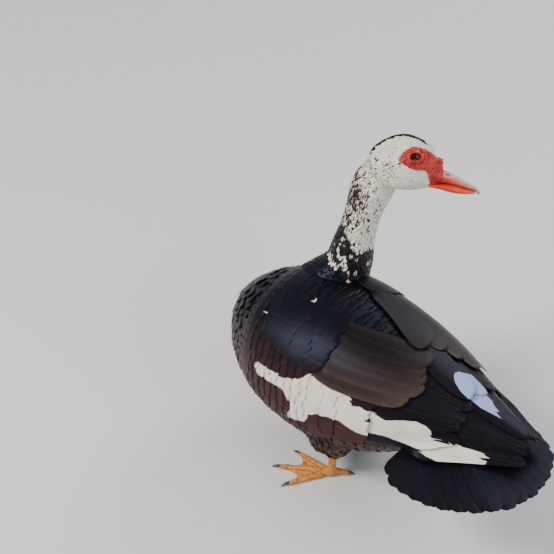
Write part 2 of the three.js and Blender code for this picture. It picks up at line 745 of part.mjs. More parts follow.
const coverts = fanBody(TAIL_COVERTS)
  .subtract(trunkRoom)
  .subtract(tierBody(TIERS.wing_primaries, SIDES.left))
  .subtract(tierBody(TIERS.wing_primaries, SIDES.left, GAP));
add("tail_coverts", coverts, "dark");

// The origin goes on the floor under the middle of the whole bird
const middle = new THREE.Box3().setFromObject(duck, true).getCenter(new THREE.Vector3());
duck.position.set(-middle.x, -middle.y, 0);

export default duck;
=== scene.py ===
"""Still model of a pied female muscovy duck: skin, coat, folded wings, fanned tail, face and feet.

Every size is in millimetres in the bird's own frame: +Z up, the trunk heads towards -X and
her left side is -Y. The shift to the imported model's frame comes from the torso solid.
"""
import math
import bpy
import numpy as np
from mathutils import Euler, Matrix, Vector
from mathutils.bvhtree import BVHTree
from mathutils.kdtree import KDTree


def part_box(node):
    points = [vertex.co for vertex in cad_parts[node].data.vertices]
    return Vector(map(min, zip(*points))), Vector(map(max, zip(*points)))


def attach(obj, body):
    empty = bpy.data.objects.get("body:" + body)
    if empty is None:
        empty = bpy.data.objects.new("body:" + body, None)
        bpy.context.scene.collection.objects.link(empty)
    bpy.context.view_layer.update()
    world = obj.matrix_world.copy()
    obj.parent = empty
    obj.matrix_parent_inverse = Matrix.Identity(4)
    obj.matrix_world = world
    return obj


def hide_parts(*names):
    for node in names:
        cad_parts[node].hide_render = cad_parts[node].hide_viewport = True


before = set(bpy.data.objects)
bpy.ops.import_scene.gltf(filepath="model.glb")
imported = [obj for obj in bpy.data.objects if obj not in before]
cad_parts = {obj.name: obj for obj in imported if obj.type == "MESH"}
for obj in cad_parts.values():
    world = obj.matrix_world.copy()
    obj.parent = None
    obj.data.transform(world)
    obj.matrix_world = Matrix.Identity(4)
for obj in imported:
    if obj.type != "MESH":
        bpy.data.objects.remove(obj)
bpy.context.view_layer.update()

# Sections shared with the solids: place, top, bottom, half width
SECTION_POWER = 2.2
SECTION_MIDDLE = 0.47
TRUNK = [
    [-138, 130, 118, 4], [-133, 152, 95, 25], [-123, 166, 77, 41], [-102, 181, 57, 59],
    [-70, 192, 42, 75], [-33, 194, 34, 82], [0, 190, 32, 83], [33, 182, 36, 78],
    [66, 169, 46, 66], [98, 153, 63, 50], [124, 138, 80, 35], [140, 128, 92, 24], [147, 121, 102, 12],
]
CLOAK = [
    [-123, 166.5, 77, 41.5], [-102, 182, 57, 60], [-70, 194, 42, 76.5], [-33, 197.5, 34, 85],
    [0, 196, 32, 87], [33, 190, 36, 83], [66, 182, 48, 76], [98, 172, 64, 65],
    [131, 161, 80, 51], [164, 149, 94, 36], [197, 138, 104, 22], [220, 132, 110, 15],
]
HEAD = [
    [-43, 3, -8, 3], [-40, 9, -15, 10], [-33, 14.5, -24, 14], [-24, 19.5, -30, 17],
    [-14, 22.4, -32, 18.5], [-3, 22, -32.5, 18.5], [8, 17.4, -31, 16],
    [15, 12.6, -29.5, 13.4], [21, 6.4, -27.5, 10.8], [24, 0, -25, 9],
]
BILL_UPPER = [
    [14, -6, -25.5, 9.6], [20, -8, -25.3, 10], [28, -12.6, -25.4, 9.6], [35, -15.2, -26.8, 9],
    [42, -19, -28.6, 9], [50, -23.6, -30.6, 9.2], [56, -27.2, -32, 8.2], [60, -30.6, -33, 5.6],
]
BILL_LOWER = [
    [14, -24.8, -29.2, 7.6], [24, -25.0, -31, 8.6], [35, -26.2, -34.2, 8.4],
    [47, -29.2, -35.8, 8.2], [55, -31.4, -35.8, 7], [58.5, -32.6, -35.2, 5],
]
BILL_NAIL = [
    [53.5, -25, -27.6, 2.4], [57, -27, -31, 3.8], [60, -29.6, -34.6, 3.8],
    [62, -32, -36.2, 2.6], [62.8, -34, -36, 1.2],
]

# Middle line of the neck: x, y, z, radius across, radius in depth
NECK = [
    [-80, 12, 124, 43, 44], [-60, 24, 154, 40, 40], [-43, 36, 180, 34, 33], [-34, 42, 202, 27, 26],
    [-30, 43, 224, 23.5, 23.5], [-26, 45, 246, 20.5, 20.5], [-22, 47, 268, 19.8, 20],
    [-17, 49, 290, 21, 22.5], [-10, 51, 310, 22, 23], [1, 56, 327, 19, 20],
]
NECK_STEPS = 60

# Head: its place, turn and roll, the red skin's place with upper and lower edge, and the eyes
HEAD_PLACE = np.array([21.3, 64.6, 340.8])
HEAD_TURN = 38
HEAD_ROLL = -32
MASK = [
    [-16, -1.6, -3], [-11, 4.8, -6.8], [-2, 9, -11.6], [6, 8.2, -12.2], [11.5, 6.4, -14],
    [14.5, 4.6, -23], [18, 2, -28.2], [22, -2, -29], [27, -9, -28.6],
]
EYE_RADIUS = 6.2
EYE_OUT = 13.2

# Folded wing: place, then its upper and its lower edge in degrees from the ridge
WING_EDGES = [
    [-115, 58, 72], [-90, 34, 90], [-60, 27, 98], [0, 24, 103],
    [33, 24, 99], [66, 19, 97], [131, 8, 100], [220, 4, 84],
]

# Tail and legs. A toe has its turn from the foot's heading, its length and its radius
TAIL_ROOT = np.array([120.0, 0.0, 114.0])
TAIL_TURN = 34
TAIL_SLOPE = 3
LEGS = {
    "left": {"hip": [12, -41, 72], "heel": [20, -46, 46], "ball": [14, -48, 4], "turn": 206},
    "right": {"hip": [20, 42, 72], "heel": [28, 45, 46], "ball": [22, 46, 4], "turn": 166},
}
TOES = [(-30, 42, 3.6), (2, 53, 3.9), (32, 46, 3.7)]
HIND_TOE_TURN = 190
HIND_TOE_LENGTH = 20

# Camera fitted to the photo's framing, in a picture of 554 by 554
CAMERA_PLACE = np.array([665.4, -971.0, 1143.0])
CAMERA_TURN = 38
CAMERA_DOWN = 38
FOCAL_PIXELS = 1525
PICTURE = 554
SENSOR = 36

MM = 0.001
torso_low, torso_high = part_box("torso")
SHIFT = np.array([torso_low.x * 1000 + 138, (torso_low.y + torso_high.y) * 500, 0.0])


def linear(red, green, blue):
    """Scene colour of a display colour from 0 to 255."""
    c = np.array([red, green, blue]) / 255
    return np.where(c <= 0.04045, c / 12.92, ((c + 0.055) / 1.055) ** 2.4)


# Colours of the plumage
# The black's blue cast is partly the feathers' own black, partly painted reflection of a blue sky.
NAVY_BLACK = linear(8, 9, 17)
BROWN_BLACK = linear(20, 13, 11)
# Warm maroon for painted sunlight on the black plumage.
SUNLIT_MAROON = linear(66, 31, 22)
# Olive brown for painted sunlight on the thigh.
SUNLIT_OLIVE_BROWN = linear(84, 66, 44)
# Warm brown for painted sunlight on the lower rear.
SUNLIT_RUMP_BROWN = 0.6 * SUNLIT_MAROON + 0.4 * SUNLIT_OLIVE_BROWN
# Flight feathers' black mixed with brown: partly their own colour, partly painted sunlit sheen.
FLIGHT_BLACK = 0.35 * NAVY_BLACK + 0.65 * BROWN_BLACK
TAIL_TIP_BLACK = (0.7 * NAVY_BLACK + 0.3 * BROWN_BLACK) * 1.2
# Brown of the tertials: painted sunlight on dark feathers.
SUNLIT_TERTIAL_BROWN = linear(46, 36, 29)
FLECK = linear(46, 38, 36)
WORN_BROWN = linear(32, 22, 17)
QUILL_BROWN = linear(96, 78, 62)
PLUME_WHITE = linear(241, 232, 217)
SOILED_WHITE = PLUME_WHITE * np.array([0.88, 0.84, 0.77])
SHADED_WHITE = linear(158, 172, 214)

# Whiteness of a plain feather: far below or far above the level at which white begins
DARK = -4.0
WHITE = 4.0


# Shapes from tables
def rows_at(rows, x):
    """Smooth value of each later column of a table at places on its first column."""
    rows = np.asarray(rows, float)
    xs, values = rows[:, 0], rows[:, 1:]
    count = len(xs)
    before = np.maximum(np.arange(count) - 1, 0)
    after = np.minimum(np.arange(count) + 1, count - 1)
    slopes = (values[after] - values[before]) / (xs[after] - xs[before])[:, None]
    x = np.clip(np.asarray(x, float), xs[0], xs[-1])
    i = np.clip(np.searchsorted(xs, x, side="right") - 1, 0, count - 2)
    span = xs[i + 1] - xs[i]
    t = ((x - xs[i]) / span)[..., None]
    span = span[..., None]
    ease = t * t * (3 - 2 * t)
    leave = slopes[i] * span * t * (1 - t) ** 2
    arrive = slopes[i + 1] * span * t * t * (t - 1)
    return values[i] + (values[i + 1] - values[i]) * ease + leave + arrive


def columns_at(rows, x):
    """The same as one array for each column."""
    return np.moveaxis(rows_at(rows, x), -1, 0)


def section_point(rows, x, angle, grow=0.0):
    """Point of a rounded section at an angle from the top towards the left."""
    top, bottom, half = columns_at(rows, x)
    top, bottom, half = top + grow, bottom - grow, half + grow
    middle = bottom + SECTION_MIDDLE * (top - bottom)
    up, side = np.cos(angle), np.sin(angle)
    power = 2 / SECTION_POWER
    rise = np.where(up > 0, top - middle, middle - bottom)
    z = middle + rise * np.sign(up) * np.abs(up) ** power
    y = -half * np.sign(side) * np.abs(side) ** power
    return np.stack([np.broadcast_to(x, z.shape), y, z], -1)


def half_width(rows, x, z):
    """Half width of a sectioned form at a place and height."""
    top, bottom, half = columns_at(rows, x)
    middle = bottom + SECTION_MIDDLE * (top - bottom)
    reach = np.where(z > middle, top - middle, middle - bottom)
    share = np.minimum(1, np.abs(z - middle) / np.maximum(reach, 1e-6))
    return half * (1 - share ** SECTION_POWER) ** (1 / SECTION_POWER)


def unit(v):
    return v / np.maximum(np.linalg.norm(v, axis=-1, keepdims=True), 1e-9)


def cloak_surface(x, angle):
    """Point and outward normal of the surface on which the folded wings lie."""
    place = section_point(CLOAK, x, angle)
    along = section_point(CLOAK, x + 0.5, angle) - section_point(CLOAK, x - 0.5, angle)
    around = section_point(CLOAK, x, angle + 0.01) - section_point(CLOAK, x, angle - 0.01)
    return place, -unit(np.cross(along, around))


def girth(x):
    """Mean radius of that surface."""
    top, bottom, half = columns_at(CLOAK, x)
    return (half + (top - bottom) / 2) / 2


head_turn = np.array(Euler((math.radians(HEAD_ROLL), 0, 0)).to_matrix())
head_turn = np.array(Matrix.Rotation(math.radians(HEAD_TURN), 3, "Z")) @ head_turn


def from_head(points):
    """The head's own frame to the bird's."""
    return np.asarray(points, float) @ head_turn.T + HEAD_PLACE


def to_head(points):
    """The bird's frame to the head's own."""
    return (np.asarray(points, float) - HEAD_PLACE) @ head_turn


def placed(points):
    """Points of the bird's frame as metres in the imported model's."""
    return (np.asarray(points, float) + SHIFT) * MM


def blend(first, second, share):
    """Colours from first to second, with a share for each point."""
    share = share[:, None]
    return first * (1 - share) + second * share


# Meshes
def add_object(name, data):
    made = bpy.data.objects.new(name, data)
    bpy.context.scene.collection.objects.link(made)
    return made


def make_object(name, points, faces, material=None, smooth=True):
    """Object from points in the bird's frame and a list of faces."""
    mesh = bpy.data.meshes.new(name)
    mesh.from_pydata(placed(points).tolist(), [], [list(map(int, f)) for f in faces])
    mesh.validate()
    mesh.polygons.foreach_set("use_smooth", [smooth] * len(mesh.polygons))
    if material:
        mesh.materials.append(material)
    return add_object(name, mesh)


def set_attribute(mesh, name, values):
    """A number or a colour for each point, held by the mesh."""
    values = np.asarray(values, float)
    kind, key = "FLOAT", "value"
    if values.ndim > 1:
        values = np.column_stack([values, np.ones(len(values))])
        kind, key = "FLOAT_COLOR", "color"
    attribute = mesh.attributes.new(name, kind, "POINT")
    attribute.data.foreach_set(key, values.astype(np.float32).ravel())


def tinted_object(name, points, faces, colours, material):
    """Object with a colour for each point."""
    made = make_object(name, points, faces, material)
    set_attribute(made.data, "Tint", colours)
    return made


def mesh_points(mesh):
    """Places of a mesh's points, in metres."""
    found = np.empty(len(mesh.vertices) * 3, np.float32)
    mesh.vertices.foreach_get("co", found)
    return found.reshape(-1, 3)


def plain_mesh(source):
    """Mesh of an object with its modifiers applied. The object itself goes."""
    graph = bpy.context.evaluated_depsgraph_get()
    mesh = bpy.data.meshes.new_from_object(source.evaluated_get(graph))
    bpy.data.objects.remove(source)
    return mesh


def joined_object(members, name):
    """One object from several that are alike."""
    with bpy.context.temp_override(active_object=members[0], selected_editable_objects=members):
        if len(members) > 1:
            bpy.ops.object.join()
    members[0].name = name
    return members[0]


def loft(rings):
    """Points and faces over rings of equal count, closed at both ends."""
    rings = np.asarray(rings)
    count, sides = rings.shape[:2]
    faces = []
    for r in range(count - 1):
        for k in range(sides):
            a, b = r * sides + k, r * sides + (k + 1) % sides
            faces.append([a, b, b + sides, a + sides])
    faces.append(list(range(sides))[::-1])
    faces.append(list(range((count - 1) * sides, count * sides)))
    return rings.reshape(-1, 3), faces


def ball(rings, sides, pole):
    """Rings of a round form of radius 1, each a turn from the top, with a small hole at each pole."""
    return np.array([
        [[math.sin(a) * math.cos(b), math.sin(a) * math.sin(b), math.cos(a)]
         for b in np.linspace(0, 2 * math.pi, sides, endpoint=False)]
        for a in np.linspace(pole, math.pi - pole, rings)])


def sectioned(rows, sides, steps, grow=0.0):
    """Form through a table of sections, with its sections closer together at the ends."""
    x0, x1 = rows[0][0] - grow, rows[-1][0] + grow
    xs = x0 + (x1 - x0) * (1 - np.cos(np.pi * np.arange(steps + 1) / steps)) / 2
    angles = 2 * np.pi * np.arange(sides) / sides
    return loft([section_point(rows, np.full(sides, x), angles, grow) for x in xs])


def smooth_path(rows, steps):
    """Rows of numbers drawn out into a smooth run of many."""
    rows = np.asarray(rows, float)
    table = np.column_stack([np.arange(len(rows)), rows])
    return rows_at(table, np.linspace(0, len(rows) - 1, steps + 1))


def tube(rows, sides, steps, grow=0.0):
    """Tube along a path: the fourth column is its radius across, the last its radius in depth."""
    path = smooth_path(rows, steps)
    centre, radius, depth = path[:, :3], path[:, 3] + grow, path[:, -1] + grow
    ahead = unit(np.gradient(centre, axis=0))
    side = unit(np.array([0.0, 1.0, 0.0]) - ahead * ahead[:, 1:2])
    front = np.cross(ahead, side)
    angles = 2 * np.pi * np.arange(sides) / sides
    across, deep = np.cos(angles)[:, None], np.sin(angles)[:, None]
    places = zip(centre, radius, depth, side, front)
    return loft([c + r * across * s + d * deep * f for c, r, d, s, f in places])


def sheet_faces(columns, rows):
    """Faces of a thick sheet: its upper grid, its lower grid and the rim between them."""
    size = columns * rows
    faces = []
    for i in range(columns - 1):
        for j in range(rows - 1):
            a = i * rows + j
            faces.append([a, a + rows, a + rows + 1, a + 1])
            faces.append([size + a, size + a + 1, size + a + rows + 1, size + a + rows])
    rim = [i * rows for i in range(columns)]
    rim += [(columns - 1) * rows + j for j in range(1, rows)]
    rim += [i * rows + rows - 1 for i in range(columns - 2, -1, -1)]
    rim += range(rows - 2, 0, -1)
    for a, b in zip(rim, rim[1:] + rim[:1]):
        faces.append([a, size + a, size + b, b])
    return faces


def joined(parts):
    """Points and faces of several forms as one."""
    points, faces, start = [], [], 0
    for p, f in parts:
        points.append(np.asarray(p))
        faces += [[i + start for i in face] for face in f]
        start += len(p)
    return np.concatenate(points), faces


def fused(name, parts, voxel, rounds, material):
    """One closed skin over overlapping closed forms, with its seams smoothed."""
    raw = make_object(name, *joined(parts))
    remesh = raw.modifiers.new("join", "REMESH")
    remesh.mode = "VOXEL"
    remesh.voxel_size = voxel * MM
    soften = raw.modifiers.new("soften", "SMOOTH")
    soften.factor = 0.5
    soften.iterations = rounds
    mesh = plain_mesh(raw)
    mesh.name = name
    mesh.materials.clear()
    mesh.materials.append(material)
    mesh.polygons.foreach_set("use_smooth", [True] * len(mesh.polygons))
    return add_object(name, mesh)


# Feather vanes: shares of the length, width at each of them, and columns across
SMALL_VANE = {"along": [0, 0.4, 0.78, 1], "width": [0.45, 0.95, 0.92, 0.3], "across": [-1, 0, 1]}
BODY_VANE = {"along": [0, 0.3, 0.65, 0.88, 1], "width": [0.4, 0.85, 1, 0.9, 0.5], "across": [-1, 0, 1]}
LONG_VANE = {
    "along": [0, 0.1, 0.25, 0.45, 0.65, 0.8, 0.9, 0.96, 1],
    "width": [0.4, 0.72, 0.9, 1, 1, 0.95, 0.8, 0.55, 0.2],
    "across": [-1, -0.5, 0, 0.5, 1],
}
FAN_VANE = {
    "along": [0, 0.1, 0.25, 0.45, 0.65, 0.82, 0.93, 0.98, 1],
    "width": [0.16, 0.34, 0.6, 0.84, 0.98, 1, 0.84, 0.55, 0.28],
    "across": [-1, -0.5, 0, 0.5, 1],
}
SMALL_PATCH = 0.0015


def vane_faces(rows, cols):
    """Triangles of one closed vane: its upper grid, then the inner columns of its lower one."""
    inner = cols - 2

    def over(r, c):
        return r * cols + c

    def under(r, c):
        return over(r, c) if c in (0, cols - 1) else rows * cols + r * inner + c - 1

    top, low = [], []
    for r in range(rows - 1):
        for c in range(cols - 1):
            a, b, d, e = over(r, c), over(r, c + 1), over(r + 1, c + 1), over(r + 1, c)
            top += [[a, b, d], [a, d, e]]
            a, b, d, e = under(r, c), under(r, c + 1), under(r + 1, c + 1), under(r + 1, c)
            low += [[a, d, b], [a, e, d]]
    for r, turned in ((0, True), (rows - 1, False)):
        for c in range(cols - 1):
            a, b, d, e = over(r, c), over(r, c + 1), under(r, c + 1), under(r, c)
            for tri in ([a, b, d], [a, d, e]):
                if len(set(tri)) == 3:
                    low.append(tri[::-1] if turned else tri)
    return np.array(top), np.array(low)


def triangle_mesh(name, points, faces):
    """Mesh of many triangles, made at once."""
    mesh = bpy.data.meshes.new(name)
    mesh.vertices.add(len(points))
    mesh.vertices.foreach_set("co", placed(points).astype(np.float32).ravel())
    mesh.loops.add(faces.size)
    mesh.loops.foreach_set("vertex_index", faces.astype(np.int32).ravel())
    mesh.polygons.add(len(faces))
    mesh.polygons.foreach_set("loop_start", np.arange(0, faces.size, 3, dtype=np.int32))
    mesh.update(calc_edges=True)
    mesh.polygons.foreach_set("use_smooth", [True] * len(mesh.polygons))
    return mesh


def add_map(mesh, name, across, along):
    """UV map from two values for each corner."""
    made = mesh.uv_layers.new(name=name)
    made.data.foreach_set("uv", np.column_stack([across, along]).astype(np.float32).ravel())


def sharpen(mesh, border):
    """Sharp edges where both ends lie on a vane's border."""
    ends = np.empty(len(mesh.edges) * 2, np.int32)
    mesh.edges.foreach_get("vertices", ends)
    ends = ends.reshape(-1, 2)
    sharp = mesh.attributes.new("sharp_edge", "BOOLEAN", "EDGE")
    sharp.data.foreach_set("value", border[ends[:, 0]] & border[ends[:, 1]])


def colour_vanes(mesh, plan, side, share):
    """Tint from root to tip and rim, and whiteness, of every point of a plan's vanes."""
    each = side.shape[1]
    root_tint = np.repeat(plan["tint"], each, 0)
    tip_tint = np.repeat(plan.get("tip_tint", plan["tint"]), each, 0)
    towards_tip = np.clip((share.ravel() - 0.5) * 2, 0, 1)[:, None]
    rim = (np.abs(side.ravel()) > 0.9)[:, None] * plan.get("rim", 0.3)
    set_attribute(mesh, "Tint", root_tint + (tip_tint - root_tint) * np.clip(towards_tip ** 2 + rim, 0, 1))
    white = plan["white"]
    if white.ndim > 1:
        white = over_and_under(white).ravel()
    else:
        white = np.repeat(white, each)
    if "streak" in plan:
        middle = (1 - np.abs(side)) * np.clip((share - 0.3) / 0.4, 0, 1)
        white = white - np.repeat(plan["streak"], each) * middle.ravel()
    set_attribute(mesh, "White", white)


def over_and_under(upper, lower=None):
    """Each vane's upper grid, then the inner columns of its lower one."""
    lower = upper if lower is None else lower
    flat = (len(upper), -1, *upper.shape[3:])
    return np.concatenate([upper.reshape(flat), lower[:, :, 1:-1].reshape(flat)], 1)


def build_vanes(name, shape, surface, plan, material, flip=False):
    """One joined mesh of vanes. A value of the plan is one for all or one for each vane."""
    count = len(plan["length"])
    size = (count, len(shape["along"]), len(shape["across"]))
    profile = np.array(shape["width"])[None, :, None]
    share = np.broadcast_to(np.array(shape["along"])[None, :, None], size)
    side = np.broadcast_to(np.array(shape["across"], float)[None, None, :], size)

    def spread(key):
        return np.broadcast_to(np.asarray(plan[key], float), (count,))[:, None, None]

    reach = share * spread("length")
    half = side * 0.5 * spread("width") * profile
    ragged = plan["ragged"][:, :, None] if "ragged" in plan else 1.0
    lift = spread("root") + (spread("tip") - spread("root")) * share
    lift = lift + spread("roll") * side * profile - spread("camber") * side ** 2
    lift = lift + spread("shaft") * (side == 0)
    place, normal = surface(reach, half * ragged + spread("yaw") * reach)
    thick = plan["thick"] * (1 - 0.75 * share ** 2)
    upper = place + normal * (lift + 0.5 * thick * (np.abs(side) < 1))[..., None]
    lower = place + normal * (lift - 0.5 * thick)[..., None]
    points = over_and_under(upper, lower)
    each = points.shape[1]

    top, low = vane_faces(*size[1:])
    if flip:
        top, low = top[:, ::-1], low[:, ::-1]
    triangles = np.concatenate([top, low])
    faces = (triangles[None] + (np.arange(count) * each)[:, None, None]).reshape(-1, 3)
    mesh = triangle_mesh(name, points.reshape(-1, 3), faces)

    corner = faces.ravel()
    owner = corner // each
    is_low = np.tile(np.repeat(np.arange(len(triangles)) >= len(top), 3), count)
    point_side, point_share = over_and_under(side), over_and_under(share)
    patch = plan.get("patch", SMALL_PATCH)
    across = plan["u"][owner] + patch * (np.where(is_low, 0.5, -0.5) + 0.45 * point_side.ravel()[corner])
    along = plan["v"][owner] + patch * (2 * point_share.ravel()[corner] - 1)
    add_map(mesh, "OFBake", across, along)
    add_map(mesh, "Barb", over_and_under(half).ravel()[corner], over_and_under(reach).ravel()[corner])
    mesh.uv_layers["OFBake"].active = True
    sharpen(mesh, np.abs(point_side.ravel()) == 1)
    colour_vanes(mesh, plan, point_side, point_share)
    mesh.materials.append(material)
    return add_object(name, mesh)


# Finishes
class Finish:
    """A material with its shader, and short ways to add nodes to it."""

    def __init__(self, name, roughness, specular=0.5):
        self.material = bpy.data.materials.new(name)
        self.material.use_nodes = True
        self.nodes = self.material.node_tree.nodes
        self.links = self.material.node_tree.links
        self.shader = self.nodes["Principled BSDF"]
        self.fix("Roughness", roughness)
        self.fix("Specular IOR Level", specular)

    def fix(self, socket, value):
        """Sets one of the shader's own values."""
        self.shader.inputs[socket].default_value = value

    def drive(self, socket, value):
        """Links an output to the shader."""
        self.links.new(value, self.shader.inputs[socket])

    def feed(self, socket, value):
        """Gives a node's input a number, a colour or a link."""
        if isinstance(value, (int, float)):
            socket.default_value = value
        elif isinstance(value, (tuple, np.ndarray)):
            socket.default_value = (*[float(v) for v in value], 1)
        else:
            self.links.new(value, socket)

    def calc(self, operation, *values):
        made = self.nodes.new("ShaderNodeMath")
        made.operation = operation
        for socket, value in zip(made.inputs, values):
            self.feed(socket, value)
        return made.outputs[0]

    def mix(self, share, first, second, way="MIX"):
        made = self.nodes.new("ShaderNodeMix")
        made.data_type = "RGBA"
        made.blend_type = way
        for index, value in ((0, share), (6, first), (7, second)):
            self.feed(made.inputs[index], value)
        return made.outputs[2]

    def attribute(self, name, output):
        made = self.nodes.new("ShaderNodeAttribute")
        made.attribute_name = name
        return made.outputs[output]

    def texture(self, kind, scale, output, detail=None):
        """Noise or cells over the object's own coordinates."""
        made = self.nodes.new(kind)
        made.inputs["Scale"].default_value = scale
        if detail is not None:
            made.inputs["Detail"].default_value = detail
        self.links.new(self.nodes.new("ShaderNodeTexCoord").outputs["Object"], made.inputs["Vector"])
        return made.outputs[output]

    def noise(self, scale, detail):
        return self.texture("ShaderNodeTexNoise", scale, "Fac", detail)

    def ramp(self, value, low, high):
        """A value's share of the way from low to high, kept between 0 and 1."""
        made = self.nodes.new("ShaderNodeMapRange")
        made.inputs["From Min"].default_value = low
        made.inputs["From Max"].default_value = high
        self.links.new(value, made.inputs["Value"])
        return made.outputs[0]

    def bump(self, height, strength, distance):
        made = self.nodes.new("ShaderNodeBump")
        made.inputs["Strength"].default_value = strength
        made.inputs["Distance"].default_value = distance
        self.links.new(height, made.inputs["Height"])
        self.drive("Normal", made.outputs["Normal"])


def feather_material(name, barb_step, quill_share, edge, gloss):
    """Plumage: dark colour of each vane, ragged white, fine barbs and a faint quill."""
    made = Finish(name, 0.42, gloss)
    # Bluish gloss on all the plumage: painted reflection of a blue sky.
    made.fix("Specular Tint", (0.52, 0.62, 1.0, 1))
    place = made.nodes.new("ShaderNodeUVMap")
    place.uv_map = "Barb"
    split = made.nodes.new("ShaderNodeSeparateXYZ")
    made.links.new(place.outputs["UV"], split.inputs[0])
    away = made.calc("ABSOLUTE", split.outputs[0])
    slant = made.calc("MULTIPLY_ADD", away, -0.9, split.outputs[1])
    wave = made.calc("SINE", made.calc("MULTIPLY", slant, 2 * math.pi / barb_step))
    barbs = made.ramp(wave, -1, 1)
    clump = made.noise(900, 2)
    jitter = made.calc("MULTIPLY_ADD", clump, 2.4, -1.2)
    is_white = made.ramp(made.calc("ADD", made.attribute("White", "Fac"), jitter), -edge, edge)
    clean = made.mix(made.ramp(made.noise(60, 4), 0.35, 0.75), PLUME_WHITE, SOILED_WHITE)
    clean = made.mix(made.attribute("Shaded", "Fac"), clean, SHADED_WHITE)
    tint = made.attribute("Tint", "Color")
    dark = made.mix(made.ramp(made.noise(45, 4), 0.35, 0.7), tint, made.mix(0.35, tint, WORN_BROWN))
    colour = made.mix(is_white, dark, clean)
    colour = made.mix(1.0, colour, made.calc("MULTIPLY_ADD", barbs, 0.14, 0.88), "MULTIPLY")
    if quill_share:
        quill = made.calc("MULTIPLY", made.ramp(away, 0.45, 0.2), quill_share)
        colour = made.mix(quill, colour, QUILL_BROWN)
    made.drive("Base Color", colour)
    made.drive("Roughness", made.ramp(is_white, -1.1, 1.8))
    made.bump(made.calc("MULTIPLY_ADD", barbs, 0.6, clump), 0.25, 0.00025)
    return made.material


def pebbled_material(name, base, dark, pale, roughness, scale, depth):
    """Bare skin: a close pebbled or scaly surface, with painted shade darkening the dips between the pebbles.
    """
    made = Finish(name, roughness)
    made.fix("Subsurface Weight", 0.12)
    made.fix("Subsurface Radius", (0.003, 0.001, 0.0006))
    cells = made.texture("ShaderNodeTexVoronoi", scale, "Distance")
    # Painted shade: colour darkens from each pebble's middle towards the dips between pebbles.
    colour = made.mix(made.ramp(cells, 0.25, 0.75), base, dark)
    patches = made.ramp(made.noise(scale * 0.25, 4), 0.4, 0.72)
    made.drive("Base Color", made.mix(made.calc("MULTIPLY", patches, 0.5), colour, pale))
    made.bump(made.calc("SUBTRACT", 1.0, cells), 0.6, depth)
    return made.material


def horn_material(name, roughness, scale, bump_depth, specular=0.5, coat=0.0):
    """Bill, nail, eye and claws: colour held by the mesh, broken up by fine mottling."""
    made = Finish(name, roughness, specular)
    made.fix("Coat Weight", coat)
    made.fix("Coat Roughness", 0.08)
    tint = made.attribute("Tint", "Color")
    speckle = made.ramp(made.noise(scale, 5), 0.3, 0.75)
    made.drive("Base Color", made.mix(speckle, tint, made.mix(1.0, tint, (0.72, 0.68, 0.66), "MULTIPLY")))
    made.bump(made.noise(scale * 3, 3), 0.3, bump_depth)
    return made.material


down_feathers = feather_material("down_feathers", 0.9, 0, 1.7, 0.24)
covert_feathers = feather_material("covert_feathers", 0.8, 0.05, 0.3, 0.2)
flight_feathers = feather_material("flight_feathers", 0.7, 0.12, 0.3, 0.18)
under_skin = feather_material("under_feathers", 1.1, 0, 1.7, 0.2)
# The second colour of each bare skin is the painted shade between its pebbles.
face_red = pebbled_material(
    "face_red", linear(202, 32, 20), linear(118, 12, 10), linear(224, 72, 46), 0.4, 620, 0.0007)
foot_orange = pebbled_material(
    "foot_orange", linear(224, 150, 62), linear(166, 88, 30), linear(236, 176, 92), 0.55, 520, 0.0006)
bill_horn = horn_material("bill_horn", 0.38, 160, 0.00015, 0.5, 0.15)
nail_horn = horn_material("nail_horn", 0.34, 200, 0.0001, 0.5, 0.2)
eye_gloss = horn_material("eye_gloss", 0.12, 300, 0.00002, 0.3, 0.12)
claw_horn = horn_material("claw_horn", 0.4, 400, 0.0001)


# Skin: trunk, neck, head and thighs as one closed surface under the coat
def thigh(leg):
    hip, heel = leg["hip"], leg["heel"]
    return tube([
        [hip[0] - 6, hip[1] * 0.9, 66, 27], [hip[0], hip[1], 48, 25],
        [hip[0] + 5, hip[1] * 1.04, 35, 15], [heel[0] - 1, heel[1], 27, 7],
    ], 24, 12)


head_points, head_faces = sectioned(HEAD, 48, 32, -1.3)
skin_parts = [sectioned(TRUNK, 64, 48, -3.2), tube(NECK, 40, 40, -2.6), (from_head(head_points), head_faces)]
skin_parts += [thigh(leg) for leg in LEGS.values()]
skin = fused("skin", skin_parts, 2.6, 6, under_skin)
skin_place = mesh_points(skin.data).astype(float) * 1000 - SHIFT
skin.data.calc_loop_triangles()
skin_tris = np.empty(len(skin.data.loop_triangles) * 3, np.int32)
skin.data.loop_triangles.foreach_get("vertices", skin_tris)
skin_tris = skin_tris.reshape(-1, 3)
skin_tree = BVHTree.FromPolygons(skin_place.tolist(), skin_tris.tolist())

neck_path = smooth_path(NECK, NECK_STEPS)
neck_ahead = unit(np.gradient(neck_path[:, :3], axis=0))
SKULL_MIDDLE = np.array([-10.0, 0.0, -8.0])
SKULL_REACH = np.array([36, 26, 30])


def body_zones(points):
    """Where each point lies: share of the head and of the neck, place along the neck, head place."""
    local = to_head(points)
    from_skull = np.linalg.norm((local - SKULL_MIDDLE) / SKULL_REACH, axis=1)
    gap = np.linalg.norm(points[:, None] - neck_path[None, :, :3], axis=2) - neck_path[None, :, 3]
    nearest = gap.argmin(1)
    neck_gap = gap[np.arange(len(points)), nearest]
    head_share = np.clip((1.25 - from_skull) / 0.3, 0, 1)
    neck_share = np.clip((7 - neck_gap) / 10, 0, 1) * (1 - head_share)
    return head_share, neck_share, nearest / NECK_STEPS, local, nearest


def neck_centre(along):
    """Middle and radii of the neck at a share of its length."""
    return neck_path[(along * NECK_STEPS).astype(int)]


